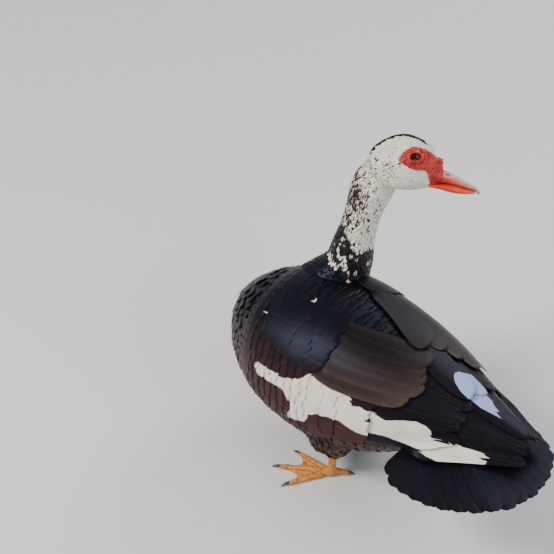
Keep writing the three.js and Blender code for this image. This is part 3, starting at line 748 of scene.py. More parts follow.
def coat_flow(points):
    """The way that the small feathers lie."""
    head_share, neck_share, _, local, nearest = body_zones(points)
    down_neck = -neck_ahead[nearest]
    rear = np.clip(-local[:, 0] / 40, 0, 1)[:, None]
    over_head = np.array([-1.0, 0, -0.25]) @ head_turn.T
    over_head = over_head * (1 - 0.6 * rear) + down_neck * 0.8 * rear
    breast = np.clip((-points[:, 0] - 70) / 60, 0, 1)[:, None]
    trunk = np.array([1.0, 0.0, -0.22]) + breast * np.array([0.0, 0.0, -0.9])
    return (head_share[:, None] * over_head + neck_share[:, None] * down_neck
            + (1 - head_share - neck_share)[:, None] * trunk)


# Markings of the folded wings as outlines: millimetres from the breast, degrees from the ridge
WHITE_OUTLINE = np.array([
    [-68, 77], [-51, 72.5], [-39, 73.5], [-21, 71], [-3, 67], [7, 59], [18, 58], [43, 57], [47, 59], [54, 63],
    [50, 68], [48, 70], [65, 67], [79, 70], [69, 77], [79, 77], [98, 72], [114, 67], [130, 70], [133, 83],
    [148, 84], [156, 93], [169, 96], [187, 103], [188, 132], [170, 130], [154, 122], [137, 110], [116, 98],
    [91, 90], [65, 89], [47, 84], [31, 83], [13, 87], [11, 94], [-21, 101], [-9, 92], [-7, 87], [-18, 80],
    [-35, 80.5], [-53, 82.5],
])
RIGHT_WHITE = np.array([
    [120, 4], [134, 16], [150, 14], [166, 6], [180, -3],
    [183, -13], [165, -13], [150, -14], [138, -12], [126, -5],
])
DEGREE_LENGTH = 1.25
WHITE_SPOTS = np.array([[-57, 41], [-22, 17], [34, 17]])
SPOT_REACH = 8
SPOT_DEGREE_LENGTH = 1.35

# Marks of the neck: place along it, reach, place round it from nape to throat, reach, share of dark
NECK_MARKS = [
    [0.81, 0.09, -0.80, 0.55, 0.85], [0.70, 0.09, -0.95, 0.40, 0.55], [0.56, 0.08, -0.95, 0.45, 0.75],
]
COLLAR_FOOT = 0.32
COLLAR_SLANT = 0.11
CAP_HALF_WIDTH = 6.5
CAP_FOOT = 4
CAP_FRONT = 13
CAP_DARK = 0.97


def outline_distance(x, degrees, outline):
    """Signed distance in millimetres inside an outline on the folded wing."""
    points = np.stack([np.ravel(x), np.ravel(degrees) * DEGREE_LENGTH], 1)
    ring = outline * np.array([1, DEGREE_LENGTH])
    inside = np.zeros(len(points), bool)
    nearest = np.full(len(points), 1e9)
    for a, b in zip(ring, np.roll(ring, -1, 0)):
        crosses = (a[1] > points[:, 1]) != (b[1] > points[:, 1])
        rise = b[1] - a[1] if b[1] != a[1] else 1e-9
        inside ^= crosses & (points[:, 0] < (b[0] - a[0]) * (points[:, 1] - a[1]) / rise + a[0])
        edge = b - a
        t = np.clip(((points - a) @ edge) / (edge @ edge), 0, 1)
        nearest = np.minimum(nearest, np.linalg.norm(points - a - t[:, None] * edge, axis=1))
    return np.where(inside, nearest, -nearest).reshape(np.shape(x))


def trunk_tint(points, random):
    """Dark colour of the trunk's small feathers by place, with painted sunlight in warm browns on the left
    side, the thigh and the lower rear.
    """
    x, y, z = points.T
    left = np.clip(-y / 60, 0, 1)
    low = np.clip((110 - z) / 50, 0, 1)
    # Painted sunlight: the left side below the back turns maroon where the sun falls on it.
    brown = left * np.clip((180 - z) / 55, 0, 1) * (0.55 + 0.45 * random.random(len(x)))
    # Painted sunlight: olive brown over the thigh.
    sunlit_thigh = np.clip(1 - np.abs(x - 22) / 38, 0, 1) * np.clip((75 - z) / 25, 0, 1)
    tint = blend(NAVY_BLACK, SUNLIT_MAROON, brown)
    tint = blend(tint, BROWN_BLACK, 0.5 * low)
    tint = blend(tint, SUNLIT_OLIVE_BROWN, sunlit_thigh)
    # Painted sunlight: warm brown on the lower rear.
    tint = blend(tint, SUNLIT_RUMP_BROWN, low * np.clip((x - 20) / 50, 0, 1))
    return tint * (0.75 + 0.5 * random.random(len(x)))[:, None]


def drifting(points, scale, seed):
    """Slow smooth noise from a few seeded waves, from about -1 to 1."""
    random = np.random.default_rng(seed)
    waves = 7
    total = np.zeros(len(points))
    for _ in range(waves):
        way = unit(random.normal(size=3)) * scale * (0.6 + random.random())
        total += np.sin(points @ way + random.random() * 6.28)
    return total / waves * 1.6


def round_neck(points, along):
    """Place round the neck: -1 at the nape, 1 at the throat."""
    centre = neck_centre(along)
    facing = np.array([math.cos(math.radians(HEAD_TURN)), math.sin(math.radians(HEAD_TURN))])
    return np.clip(np.sum((points[:, :2] - centre[:, :2]) * facing, 1) / centre[:, 3], -1.2, 1.2)


def neck_dark(along, around, slow):
    """Share of dark feathers on the neck, and each point's level above or below the slanting collar."""
    share = 0.06 + 0.36 * np.clip(-around + 0.1, 0, 1)
    for place, reach, turn, width, strength in NECK_MARKS:
        far = np.hypot((along - place) / reach, (around - turn) / width)
        share = np.maximum(share, strength * np.clip(1.5 - far, 0, 1))
    level = along + COLLAR_SLANT * around
    top = COLLAR_FOOT + 0.18 + 0.07 * np.clip(around, 0, 1) + 0.05 * slow
    collar = (level > COLLAR_FOOT + 0.015) & (level < top)
    tuft = np.hypot((around + 0.36) / 0.3, (level - COLLAR_FOOT - 0.07) / 0.02) < 1
    share = np.where(collar, 0.93, share)
    return np.where(tuft, 0.04, share), level


def head_dark(local, slow):
    """Share of dark feathers on the head, and whether a point is on the black cap."""
    x, y, z = local.T
    cap = (np.abs(y) < CAP_HALF_WIDTH) & (z > CAP_FOOT) & (x < CAP_FRONT)
    ear = np.clip(1.4 - np.hypot((x + 24) / 11, (z + 11) / 15), 0, 1)
    rear = np.clip((-28 - x) / 8, 0, 1)
    share = np.maximum(0.01, np.maximum(0.22 * ear, 0.26 * rear) * (0.4 + 1.1 * (slow > 0)))
    return np.where(cap, CAP_DARK, share), cap


def plumage(points, random):
    """Colour and whiteness of each small feather, and how dark a streak runs down its middle."""
    head_share, neck_share, along, local, _ = body_zones(points)
    tint = trunk_tint(points, random)
    chance = random.random(len(points))
    slow = drifting(points, 0.16, 5)
    on_neck_dark, level = neck_dark(along, round_neck(points, along), slow)
    on_head_dark, cap = head_dark(local, slow)
    on_head = head_share > 0.45
    on_neck = (neck_share > 0.2) & ~on_head & (level > COLLAR_FOOT)
    plain_dark = np.where(level < COLLAR_FOOT + 0.25, on_neck_dark, 0.85 * on_neck_dark ** 1.5)
    white = np.where(on_neck & (chance >= plain_dark), WHITE, DARK)
    streak = np.where(on_neck & (chance < 1.7 * on_neck_dark + 0.06), 7.5, 0.0)
    plain_dark = np.where(cap, CAP_DARK, 0.3 * on_head_dark)
    white = np.where(on_head, np.where(chance < plain_dark, DARK, WHITE), white)
    streak = np.where(on_head, np.where(chance < 1.7 * on_head_dark, 7.0, 0.0), streak)
    fleck = FLECK * (0.6 + 1.6 * random.random(len(points)))[:, None]
    fleck = np.where(cap[:, None], NAVY_BLACK, fleck)
    fleck = blend(fleck, BROWN_BLACK, 0.7 * np.clip(1 - np.abs(level - 0.42) / 0.12, 0, 1) * on_neck)
    tint = np.where((on_head | on_neck)[:, None], fleck, tint)
    rim = (level < COLLAR_FOOT + 0.012) & (level > COLLAR_FOOT - 0.02) & (neck_share > 0.05) & ~on_head
    white = np.where(rim & (chance < 0.7), 0.5 * WHITE, white)
    return tint, white, streak


# Coat: small feathers over the whole skin
TRUNK_SPACING = 5.9
COATS = [
    # name, number, shape, length and width in spacings, lift at root, at tip, thickness, slot
    ("head_plumage", 0, SMALL_VANE, 3.0, 1.35, -0.3, 0.7, 0.1, "white_feathers"),
    ("neck_plumage", 1, SMALL_VANE, 3.5, 1.5, -0.5, 1.2, 0.12, "white_feathers"),
    ("trunk_plumage", 2, BODY_VANE, 2.8, 1.8, -0.7, 1.7, 0.2, "dark_feathers"),
]


def skin_samples(random, spacing):
    """Many points over the skin in random order, each with the gap that it should keep."""
    corners = skin_place[skin_tris]
    area = np.linalg.norm(np.cross(corners[:, 1] - corners[:, 0], corners[:, 2] - corners[:, 0]), axis=1) / 2
    gap = spacing(corners.mean(1))
    chosen = np.repeat(np.arange(len(area)), random.poisson(area / gap ** 2 * 5))
    a, b = random.random((2, len(chosen)))
    over = a + b > 1
    a, b = np.where(over, 1 - a, a), np.where(over, 1 - b, b)
    c = corners[chosen]
    points = c[:, 0] + a[:, None] * (c[:, 1] - c[:, 0]) + b[:, None] * (c[:, 2] - c[:, 0])
    order = random.permutation(len(points))
    return points[order], gap[chosen][order]


def scattered(spacing, seed):
    """Points spread evenly over the skin, closer where the feathers are small."""
    points, gap = skin_samples(np.random.default_rng(seed), spacing)
    tree = KDTree(len(points))
    for index, point in enumerate(points):
        tree.insert(point, index)
    tree.balance()
    alive = np.ones(len(points), bool)
    kept = []
    for index in range(len(points)):
        if not alive[index]:
            continue
        kept.append(index)
        for _, other, _ in tree.find_range(points[index], gap[index]):
            alive[other] = False
    return points[kept], gap[kept]


def coat_spacing(points):
    """Gap between feathers by place: smallest on the face."""
    head_share, neck_share, along, local, _ = body_zones(points)
    head_gap = 1.6 - 0.35 * np.clip((local[:, 0] + 10) / 30, 0, 1)
    neck_gap = 2.2 + 2.4 * np.clip((0.45 - along) / 0.4, 0, 1)
    return TRUNK_SPACING * (1 - head_share - neck_share) + neck_gap * neck_share + head_gap * head_share


def bare(points):
    """Places with no small feathers: face mask, bill root and shanks."""
    local = to_head(points)
    x, y, z = local.T
    upper, lower = columns_at(MASK, x)
    on_mask = (x > -15) & (x < 27) & (z < upper - 0.6) & (z > lower + 0.6) & (np.abs(y) > 4)
    on_head = np.linalg.norm(local, axis=1) < 60
    x_trunk, y_trunk, z_trunk = points.T
    on_shank = (z_trunk < 29) & (np.abs(np.abs(y_trunk) - 46) < 9) & (x_trunk > 0) & (x_trunk < 50)
    return on_head & (on_mask | (x > 20.5)) | on_shank


def nearest_on_skin(points):
    """Nearest place on the skin to each point, and the skin's normal there."""
    place, normal = np.empty((2, len(points), 3))
    for k, point in enumerate(points):
        place[k], normal[k] = skin_tree.find_nearest(Vector(point))[:2]
    return place, normal


def skin_surface(roots, way):
    """Surface for vanes that follow the skin from their roots."""
    _, out = nearest_on_skin(roots)
    ahead = unit(way - np.sum(way * out, 1, keepdims=True) * out)
    across = np.cross(out, ahead)

    def surface(reach, offset):
        target = (roots[:, None, None] + reach[..., None] * ahead[:, None, None]
                  + offset[..., None] * across[:, None, None])
        place, normal = nearest_on_skin(target.reshape(-1, 3))
        return place.reshape(target.shape), normal.reshape(target.shape)
    return surface


def skin_unwrap(points):
    """Place of each feather on an unwrap of the body: round it and along it."""
    head_share, neck_share, along, local, _ = body_zones(points)
    on_head, on_neck = head_share > 0.5, neck_share > 0.5
    trunk_v = 0.02 + 0.5 * np.clip((points[:, 0] + 140) / 290, 0, 1)
    neck_v = 0.55 + 0.22 * along
    head_v = 0.8 + 0.18 * np.clip((local[:, 0] + 45) / 72, 0, 1)
    centre = neck_centre(along)
    trunk_u = np.arctan2(-points[:, 1], points[:, 2] - 110)
    neck_u = np.arctan2(points[:, 1] - centre[:, 1], points[:, 0] - centre[:, 0])
    head_u = np.arctan2(local[:, 1], local[:, 2] + 8)
    v = np.where(on_head, head_v, np.where(on_neck, neck_v, trunk_v))
    u = np.where(on_head, head_u, np.where(on_neck, neck_u, trunk_u))
    return 0.01 + 0.98 * (u / (2 * math.pi) + 0.5), v


def coat(name, number, shape, long, wide, root, tip, thick, points, gap):
    """One part of the coat from the roots of its feathers."""
    random = np.random.default_rng(31 + number)
    count = len(points)
    tint, white, streak = plumage(points, random)
    u, v = skin_unwrap(points)
    plan = {
        "length": gap * long * (0.9 + 0.25 * random.random(count)),
        "width": gap * wide * (0.9 + 0.2 * random.random(count)),
        "yaw": 0.1 * random.normal(size=count),
        "root": root,
        "tip": tip * (0.8 + 0.4 * random.random(count)),
        "roll": 0.12 * random.normal(size=count),
        "camber": 0.2, "shaft": 0.05, "thick": thick,
        "tint": tint, "white": white, "streak": streak, "u": u, "v": v,
    }
    return build_vanes(name, shape, skin_surface(points, coat_flow(points)), plan, down_feathers)


coat_points, coat_gap = scattered(coat_spacing, 21)
keep = ~bare(coat_points)
coat_points, coat_gap = coat_points[keep], coat_gap[keep]
coat_head, coat_neck = body_zones(coat_points)[:2]
coat_zone = np.where(coat_head > 0.45, 0, np.where(coat_neck > 0.4, 1, 2))
coats = []
for *form, finish in COATS:
    chosen = coat_zone == form[1]
    coats.append((coat(*form, coat_points[chosen], coat_gap[chosen]), finish))

skin_tint, skin_white, _ = plumage(skin_place, np.random.default_rng(9))
set_attribute(skin.data, "Tint", skin_tint)
set_attribute(skin.data, "White", skin_white)
skin.data.uv_layers.new(name="Barb")

# Folded wings: rows of vanes from the shoulder to the tips. The rows ahead of the front row are sunk in
FRONT_ROW = -90
LESSER_ROWS = [(-96, 0.06, 0.96, 8), (-88, 0.04, 0.97, 9), (-80, 0.03, 0.97, 10), (-72, 0.03, 0.98, 11)]
LESSER_ROWS += [(x, 0.03, 0.98, 12) for x in range(-63, -17, 9)]
WING_ROWS = [
    # kind, shape, root place, first and last share, number, length, width, lift at root, at tip
    *[("lesser", BODY_VANE, *row, 27, 17, -0.4 if row[0] > FRONT_ROW else -3.2, 0.8) for row in LESSER_ROWS],
    ("median", LONG_VANE, -10, 0.03, 0.97, 13, 34, 17, -0.6, 1.1),
    ("median", LONG_VANE, 4, 0.03, 0.97, 13, 38, 17, -0.7, 1.0),
    ("greater", LONG_VANE, 22, 0.03, 0.97, 13, 54, 18, -0.9, 0.8),
    ("secondary", LONG_VANE, 46, -0.03, 0.9, 13, 104, 20, -2.6, -0.4),
    ("primary", LONG_VANE, 66, 0.02, 1.07, 14, 146, 17, -5.6, -3.4),
    ("tertial", LONG_VANE, 6, -0.04, 0.38, 5, 99, 28, 1.6, 3.2),
    ("scapular", LONG_VANE, -64, 0.0, 0.28, 5, 42, 22, 1.6, 2.7),
    ("scapular", LONG_VANE, -46, -0.03, 0.32, 6, 44, 22, 1.8, 3.0),
    ("scapular", LONG_VANE, -28, -0.04, 0.34, 6, 46, 23, 2.0, 3.4),
]
COVERTS = ("lesser", "median", "greater")
FLIGHTS = ("secondary", "primary", "tertial")
SIDES = {"left": 1.0, "right": -1.0}
ROLLS = {"tertial": 1.0, "lesser": 0.2}

# The right wing's long feathers cross the ridge, and its tertials grow longer outwards
RIGHT_OVER_RIDGE = {"secondary": -0.17, "tertial": -0.10, "primary": -0.16}
RIGHT_TERTIAL_LAST = 0.48
RIGHT_TERTIAL_SHARES = (0.86, 1.32)

# Below this many degrees from the ridge the hind feathers spread flat over the tail's root
BRIM = math.radians(90)
BRIM_FROM = 100
BRIM_FULL = 140
BRIM_SLOPE = -0.22


def wing_surface(x, angle):
    """The folded wing's surface: round the body ahead, spread flat over the tail behind."""
    side = np.sign(angle)
    place, normal = cloak_surface(x, angle)
    beyond = np.clip(np.abs(angle) - BRIM, 0, None)
    edge, edge_normal = cloak_surface(x, side * np.minimum(np.abs(angle), BRIM))
    reach = (beyond * girth(x))[..., None]
    flat = edge + reach * np.stack([0 * side, -side, np.full(side.shape, BRIM_SLOPE)], -1)
    level = unit(np.stack([0 * side, -0.5 * side, np.ones(side.shape)], -1))
    share = (np.clip((x - BRIM_FROM) / (BRIM_FULL - BRIM_FROM), 0, 1) * (beyond > 0))[..., None]
    turned = np.clip(beyond / 0.2, 0, 1)[..., None]
    level = unit(edge_normal * (1 - turned) + level * turned)
    return place * (1 - share) + flat * share, unit(normal * (1 - share) + level * share)


def wing_degrees(x, shares):
    """Degrees from the ridge at a place and at a share of the folded wing's width."""
    upper, lower = columns_at(WING_EDGES, x)
    return upper + (lower - upper) * shares[:, None, None]


def flecked(white, x, degrees):
    """White tip on the feathers that end at one of the back's three spots."""
    beside = (degrees[:, None] - WHITE_SPOTS[:, 1]) * SPOT_DEGREE_LENGTH
    far = np.hypot(x[:, None] - WHITE_SPOTS[:, 0], beside)
    for spot, index in enumerate(far.argmin(0)):
        if far[index, spot] < SPOT_REACH:
            white[index, -3:, white.shape[2] // 2] = WHITE
    return white


def row_white(kind, x, degrees, side):
    """Signed distance inside the white of a wing at each point of a row's vanes."""
    inside = outline_distance(x, degrees, WHITE_OUTLINE if side > 0 else RIGHT_WHITE)
    if kind in ("tertial", "scapular"):
        inside = np.full(inside.shape, DARK)
    if kind in ("lesser", "median"):
        inside = 0.75 * inside + 0.25 * np.broadcast_to(inside[:, -2:-1, 1:2], inside.shape)
    if kind in ("scapular", "lesser") and side > 0:
        inside = flecked(inside, x[:, -1, 1], degrees[:, -1, 1])
    return inside


def row_tint(kind, points, random):
    """Dark colour of each of a row's vanes."""
    count = len(points)
    shade = (0.8 + 0.4 * random.random(count))[:, None]
    if kind == "tertial":
        # Painted light and shade: the tertials brighten from the upper row, in shade, to the lower one, in
        # sun.
        return SUNLIT_TERTIAL_BROWN * np.linspace(0.35, 1.15, count)[:, None]
    if kind in ("secondary", "primary"):
        # Flight feathers: black with painted sunlit brown sheen mixed in.
        return FLIGHT_BLACK * shade
    return trunk_tint(points, random)


def row_roll(kind, x, shares, wide):
    """How far a row's vanes roll, so that each lies over the next one's edge."""
    upper, lower = rows_at(WING_EDGES, x)
    step = math.radians((lower - upper) * (shares[-1] - shares[0])) / max(len(shares) - 1, 1)
    return ROLLS.get(kind, min(0.5, 0.25 * wide / max(girth(x) * step, 1)))


def wing_row(number, side):
    """One row of vanes of a folded wing."""
    kind, shape, x, first, last, count, long, wide, root, tip = WING_ROWS[number]
    random = np.random.default_rng(200 + number)
    if side < 0:
        first = RIGHT_OVER_RIDGE.get(kind, first)
        last = RIGHT_TERTIAL_LAST if kind == "tertial" else last
    shares = np.linspace(first, last, count)
    start = x + 3.5 * (random.random(count) - 0.5)
    length = long * (0.94 + 0.12 * random.random(count))
    if side < 0 and kind == "tertial":
        length = length * np.linspace(*RIGHT_TERTIAL_SHARES, count)

    def surface(reach, offset):
        place_x = start[:, None, None] + reach
        angle = np.radians(wing_degrees(place_x, shares)) + offset / girth(place_x)
        return wing_surface(place_x, side * angle)

    place_x = start[:, None, None] + length[:, None, None] * np.array(shape["along"])[None, :, None]
    offset = np.array(shape["across"])[None, None, :] * 0.5 * wide * np.array(shape["width"])[None, :, None]
    degrees = wing_degrees(place_x, shares) + np.degrees(offset / girth(place_x))
    place_x = np.broadcast_to(place_x, degrees.shape)
    points, _ = cloak_surface(start + 0.6 * length, side * np.radians(degrees[:, 3, 1]))
    tint = row_tint(kind, points, random)
    over_ridge = np.clip(0.02 - shares, 0, 0.1) * 26 if side < 0 else 0.0
    is_small = kind == "lesser"
    is_tertial = kind == "tertial"
    plan = {
        "length": length,
        "width": wide * (0.94 + 0.12 * random.random(count)),
        "yaw": 0.02 * random.normal(size=count),
        "root": root + over_ridge,
        "tip": tip + over_ridge,
        "roll": row_roll(kind, x, shares, wide),
        "camber": 0.15 if is_small else 0.3,
        "shaft": 0.03 if is_small else 0.12,
        "thick": 0.16 if is_small else 0.24,
        "tint": tint,
        # Much lighter tips and rims on the tertials: painted sunlight on their edges.
        "tip_tint": np.clip(tint * (2.5 if is_tertial else 1.15), 0, 1),
        "rim": 0.8 if is_tertial else 0.25,
        "white": row_white(kind, place_x, degrees, side),
        "u": 0.03 + 0.94 * shares.clip(0, 1),
        "v": np.full(count, 0.03 + 0.94 * (number + 0.5) / len(WING_ROWS)),
        "patch": SMALL_PATCH if is_small else 8 * SMALL_PATCH,
    }
    if kind in ("greater", "median"):
        plan["ragged"] = 1 + 0.05 * random.normal(size=(count, len(shape["along"])))
    finish = flight_feathers if kind in FLIGHTS else covert_feathers
    made = build_vanes(f"row_{number}", shape, surface, plan, finish, flip=side < 0)
    if side < 0:
        set_attribute(made.data, "Shaded", np.ones(len(made.data.vertices)))
    return "coverts" if kind in COVERTS else kind, made


def folded_wing(side_name, side):
    """Rows of one wing, joined into its groups of feathers."""
    groups = {}
    for number in range(len(WING_ROWS)):
        group, made = wing_row(number, side)
        groups.setdefault(group, []).append(made)
    return [(joined_object(members, f"{group}_plumage_{side_name}"), group, side_name)
            for group, members in groups.items()]


wing_objects = []
for side_name, side in SIDES.items():
    wing_objects += folded_wing(side_name, side)

# Mantle and rump: rows laid over the ridge, between the folded wings
MANTLE_ROWS = [
    # root place, degrees beyond the wing's upper edge, length, width, lift at root, at tip
    *[(x, 8, 28, 21, -1.1 if x > FRONT_ROW else -4.0, 0.7) for x in range(-96, 66, 8)],
    *[(x, 4, 34, 19, -5.6, -3.6) for x in range(66, 132, 9)],
]
MANTLE_STEP = 10
# Patch over the ridge painted maroon as sunlight on the feathers.
SUNLIT_PLACES = (52, 96)
SUNLIT_DEGREES = (-14, 12)


def mantle_row(number):
    """One row of vanes across the ridge."""
    x, beyond, long, wide, root, tip = MANTLE_ROWS[number]
    random = np.random.default_rng(600 + number)
    half = rows_at(WING_EDGES, x)[0] + beyond
    count = int(2 * math.radians(half) * girth(x) / MANTLE_STEP) + 2
    middle = np.linspace(-half, half, count) + 2 * (number % 2) - 1
    start = x + 3 * (random.random(count) - 0.5)
    settle = -1.8 * np.clip((-66 - start) / 30, 0, 1)

    def surface(reach, offset):
        place_x = start[:, None, None] + reach
        return cloak_surface(place_x, np.radians(middle)[:, None, None] + offset / girth(place_x))

    points, _ = cloak_surface(start + 0.6 * long, np.radians(middle))
    tint = trunk_tint(points, random)
    # Painted sunlight: maroon patch over the ridge on the hind back.
    sunlit_patch = (start > SUNLIT_PLACES[0]) & (start < SUNLIT_PLACES[1])
    sunlit_patch = sunlit_patch & (middle > SUNLIT_DEGREES[0]) & (middle < SUNLIT_DEGREES[1])
    tint = np.where(sunlit_patch[:, None], SUNLIT_MAROON * (1.0 + 0.9 * random.random(count))[:, None], tint)
    dark = np.full((count, len(BODY_VANE["along"]), len(BODY_VANE["across"])), DARK)
    plan = {
        "length": long * (0.92 + 0.16 * random.random(count)),
        "width": wide * (0.92 + 0.16 * random.random(count)),
        "yaw": 0.03 * random.normal(size=count),
        "root": root + settle,
        "tip": tip + settle,
        "roll": 0.3 if number % 2 else -0.3,
        "camber": 0.12, "shaft": 0.03, "thick": 0.16, "rim": 0.25,
        "tint": tint,
        "tip_tint": np.clip(tint * 1.15, 0, 1),
        "white": flecked(dark, start + long, middle),
        "u": 0.5 + 0.4 * middle / 60,
        "v": np.full(count, 0.05 + 0.9 * number / len(MANTLE_ROWS)),
    }
    return build_vanes(f"mantle_{number}", BODY_VANE, surface, plan, covert_feathers)


mantle = joined_object([mantle_row(number) for number in range(len(MANTLE_ROWS))], "mantle_plumage")

# Tail fan and its coverts
TAIL_ROWS = [
    # name, number, start, length, width, half spread, share of length at the sides, lift, drop, tip rise
    ("tail_feathers", 18, 14, 116, 27, 58, 0.70, 0.0, 11.0, 0.0),
    ("tail_coverts_long", 13, 14, 50, 24, 56, 0.85, 2.0, 10.5, 0.4),
    ("tail_coverts_short", 11, 8, 36, 21, 60, 0.9, 3.4, 10.5, 0.4),
    ("tail_coverts_under", 13, 12, 66, 26, 54, 0.85, -3.6, 10.0, -0.6),
]
UPWARDS = np.array([0, 0, 1.0])


def tail_row(number):
    """One fan of vanes round the tail's root, each a little under its inner neighbour."""
    name, count, start, long, wide, spread, outer, lift, drop, rise = TAIL_ROWS[number]
    random = np.random.default_rng(400 + number)
    share = np.linspace(-1, 1, count)
    level = np.abs(2 * (np.arange(count) - 0.3)) / (count - 1) - 1
    height = (lift - drop * np.abs(level))[:, None, None, None]
    angle = np.radians(TAIL_TURN + spread * share)[:, None, None]
    slope = np.full(angle.shape, -math.tan(math.radians(TAIL_SLOPE)))
    way = np.stack([np.cos(angle), -np.sin(angle), slope], -1)
    across = np.stack([-np.sin(angle), -np.cos(angle), np.zeros(angle.shape)], -1)

    def surface(reach, offset):
        place = TAIL_ROOT + way * (start + reach)[..., None] + across * offset[..., None] + UPWARDS * height
        return place, np.broadcast_to(UPWARDS, place.shape)

    length = long * (1 - (1 - outer) * share ** 2) * (0.98 + 0.04 * random.random(count))
    shade = (0.8 + 0.5 * random.random(count))[:, None]
    plan = {
        "length": length, "width": wide, "yaw": 0.0, "root": 0.0, "tip": rise, "roll": 0.0,
        "camber": 0.5, "shaft": 0.15, "thick": 0.32,
        "tint": NAVY_BLACK * shade,
        "tip_tint": TAIL_TIP_BLACK * shade,
        "white": np.full(count, DARK),
        "u": 0.04 + 0.92 * (share + 1) / 2,
        "v": np.full(count, 0.5),
        "patch": 0.02,
    }
    return build_vanes(name, FAN_VANE, surface, plan, flight_feathers, flip=True)


tail_objects = [tail_row(number) for number in range(len(TAIL_ROWS))]

# Bill and its nail
BILL_RED = linear(206, 58, 34)
BILL_ORANGE = linear(222, 92, 58)
BILL_PALE = linear(204, 158, 150)
NOSTRIL_ROSE = linear(226, 176, 166)
NAIL_PALE = linear(226, 210, 194)
NAIL_DARK = linear(70, 54, 48)
NOSTRIL_X = 32
NOSTRIL_Z = -17


def bill_colours(local):
    """Red base and orange edges, with a grey-pink ridge ahead of the nostril."""
    x, _, z = local.T
    top = np.clip(rows_at(BILL_UPPER, x)[:, 0] - z, 0, 12)
    ridge = np.clip(1.3 - top / 5.5, 0, 1) * np.clip((x - 29) / 6, 0, 1)
    return blend(blend(BILL_RED, BILL_ORANGE, np.clip((x - 30) / 22, 0, 1)), BILL_PALE, 0.8 * ridge)


def from_nostril(points, side, out, reach):
    """How far points are from one nostril: 1 at its reach, squared."""
    place = np.array([NOSTRIL_X, side * out, NOSTRIL_Z])
    return np.sum(((points - place) / np.array(reach)) ** 2, 1)


def upper_bill():
    """Upper half, with a sunk nostril on each side, painted dark inside as its shade, and a pale ring round
    it.
    """
    points, faces = sectioned(BILL_UPPER, 48, 40)
    for side in (-1, 1):
        sink = np.clip(1 - from_nostril(points, side, 9.2, (3.0, 2.6, 1.5)), 0, 1)[:, None]
        points = points - sink * np.array([0, side * 2.4, 0])
    far = np.minimum(*[from_nostril(points, side, 8.4, (2.8, 3.4, 1.4)) for side in (-1, 1)])
    ring = np.clip(1.4 - np.abs(far - 2.6) / 1.6, 0, 1)
    # Painted shade: the colour darkens deep inside each sunk nostril.
    nostril_shade = np.clip(1.3 - far, 0, 1)[:, None]
    colours = blend(bill_colours(points), NOSTRIL_ROSE, 0.7 * ring) * (1 - 0.85 * nostril_shade)
    return tinted_object("bill_upper_horn", from_head(points), faces, colours, bill_horn)


def lower_bill():
    points, faces = sectioned(BILL_LOWER, 48, 40)
    return tinted_object("bill_lower_horn", from_head(points), faces, bill_colours(points), bill_horn)


def bill_nail():
    """Pale hooked nail with a dark tip."""
    points, faces = sectioned(BILL_NAIL, 24, 16)
    colours = blend(NAIL_PALE, NAIL_DARK, np.clip((points[:, 0] - 59.5) / 3, 0, 1))
    return tinted_object("bill_nail_horn", from_head(points), faces, colours, nail_horn)


bill_pieces = [upper_bill(), lower_bill()]
nail = bill_nail()

# Eyes: brown iris with a darker rim round the pupil's opening
IRIS_BROWN = linear(74, 36, 14)
IRIS_RIM = linear(30, 13, 8)
PUPIL_BLACK = linear(8, 5, 5)
PUPIL_REACH = 0.36
IRIS_REACH = 0.66


def eyeball(side_name, side):
    rings = ball(33, 40, 0.001)[..., [0, 2, 1]] * np.array([1, side, 1])
    points, faces = loft(rings * EYE_RADIUS + np.array([0, side * EYE_OUT, 0]))
    if side > 0:
        faces = [f[::-1] for f in faces]
    spread = np.arccos(np.clip(rings.reshape(-1, 3)[:, 1] * side, -1, 1))
    iris = blend(IRIS_BROWN, IRIS_RIM, np.clip((spread - IRIS_REACH) / 0.1, 0, 1))
    colours = blend(iris, PUPIL_BLACK, np.clip((PUPIL_REACH - spread) / 0.05, 0, 1))
    return tinted_object(f"eye_{side_name}_ball", from_head(points), faces, colours, eye_gloss)


eyes = {side_name: eyeball(side_name, side) for side_name, side in SIDES.items()}


# Red skin of the face, with its warts
def face_point(side, x, z, lift):
    """Place on the side of the head or of the bill's root, raised by a lift."""
    out = half_width(HEAD, x, z)
    beak = np.where(x > 14, half_width(BILL_UPPER, x, z), 0)
    return np.stack([x, side * (np.maximum(out, beak) + lift), z], -1).reshape(-1, 3)


def face_lift(x, z, edge):
    """Height of the red skin: folds all over and two rings of lids round the eye's opening."""
    flat = np.stack([x, 0 * x, z], -1).reshape(-1, 3)
    folds = drifting(flat, 1.1, 3).reshape(x.shape) * 0.5 + drifting(flat, 2.4, 4).reshape(x.shape) * 0.3
    ring = np.hypot(x / 1.16, z / 0.82)
    lid = 1.9 * np.exp(-((ring - 5.8) / 1.3) ** 2) + 0.7 * np.exp(-((ring - 9.4) / 1.2) ** 2)
    lift = 0.2 + edge * (1.1 + 0.5 * folds) + lid * edge
    return np.where(ring < 4.6, -2.5, lift)


def face_mask(side_name, side):
    """Red skin of one side: a thick sheet, raised towards its middle."""
    columns, rows = 90, 60
    u, v = np.meshgrid(np.linspace(0, 1, columns), np.linspace(0, 1, rows), indexing="ij")
    x = MASK[0][0] + (MASK[-1][0] - MASK[0][0]) * u
    upper, lower = columns_at(MASK, x)
    z = upper + (lower - upper) * v
    edge = np.minimum(np.minimum(u, 1 - u) * 12, np.minimum(v, 1 - v) * 8).clip(0, 1)
    lift = face_lift(x, z, edge)
    points = [face_point(side, x, z, lift), face_point(side, x, z, np.minimum(lift - 0.8, -0.9))]
    faces = sheet_faces(columns, rows)
    if side < 0:
        faces = [f[::-1] for f in faces]
    return make_object(f"face_skin_{side_name}", from_head(np.concatenate(points)), faces, face_red)


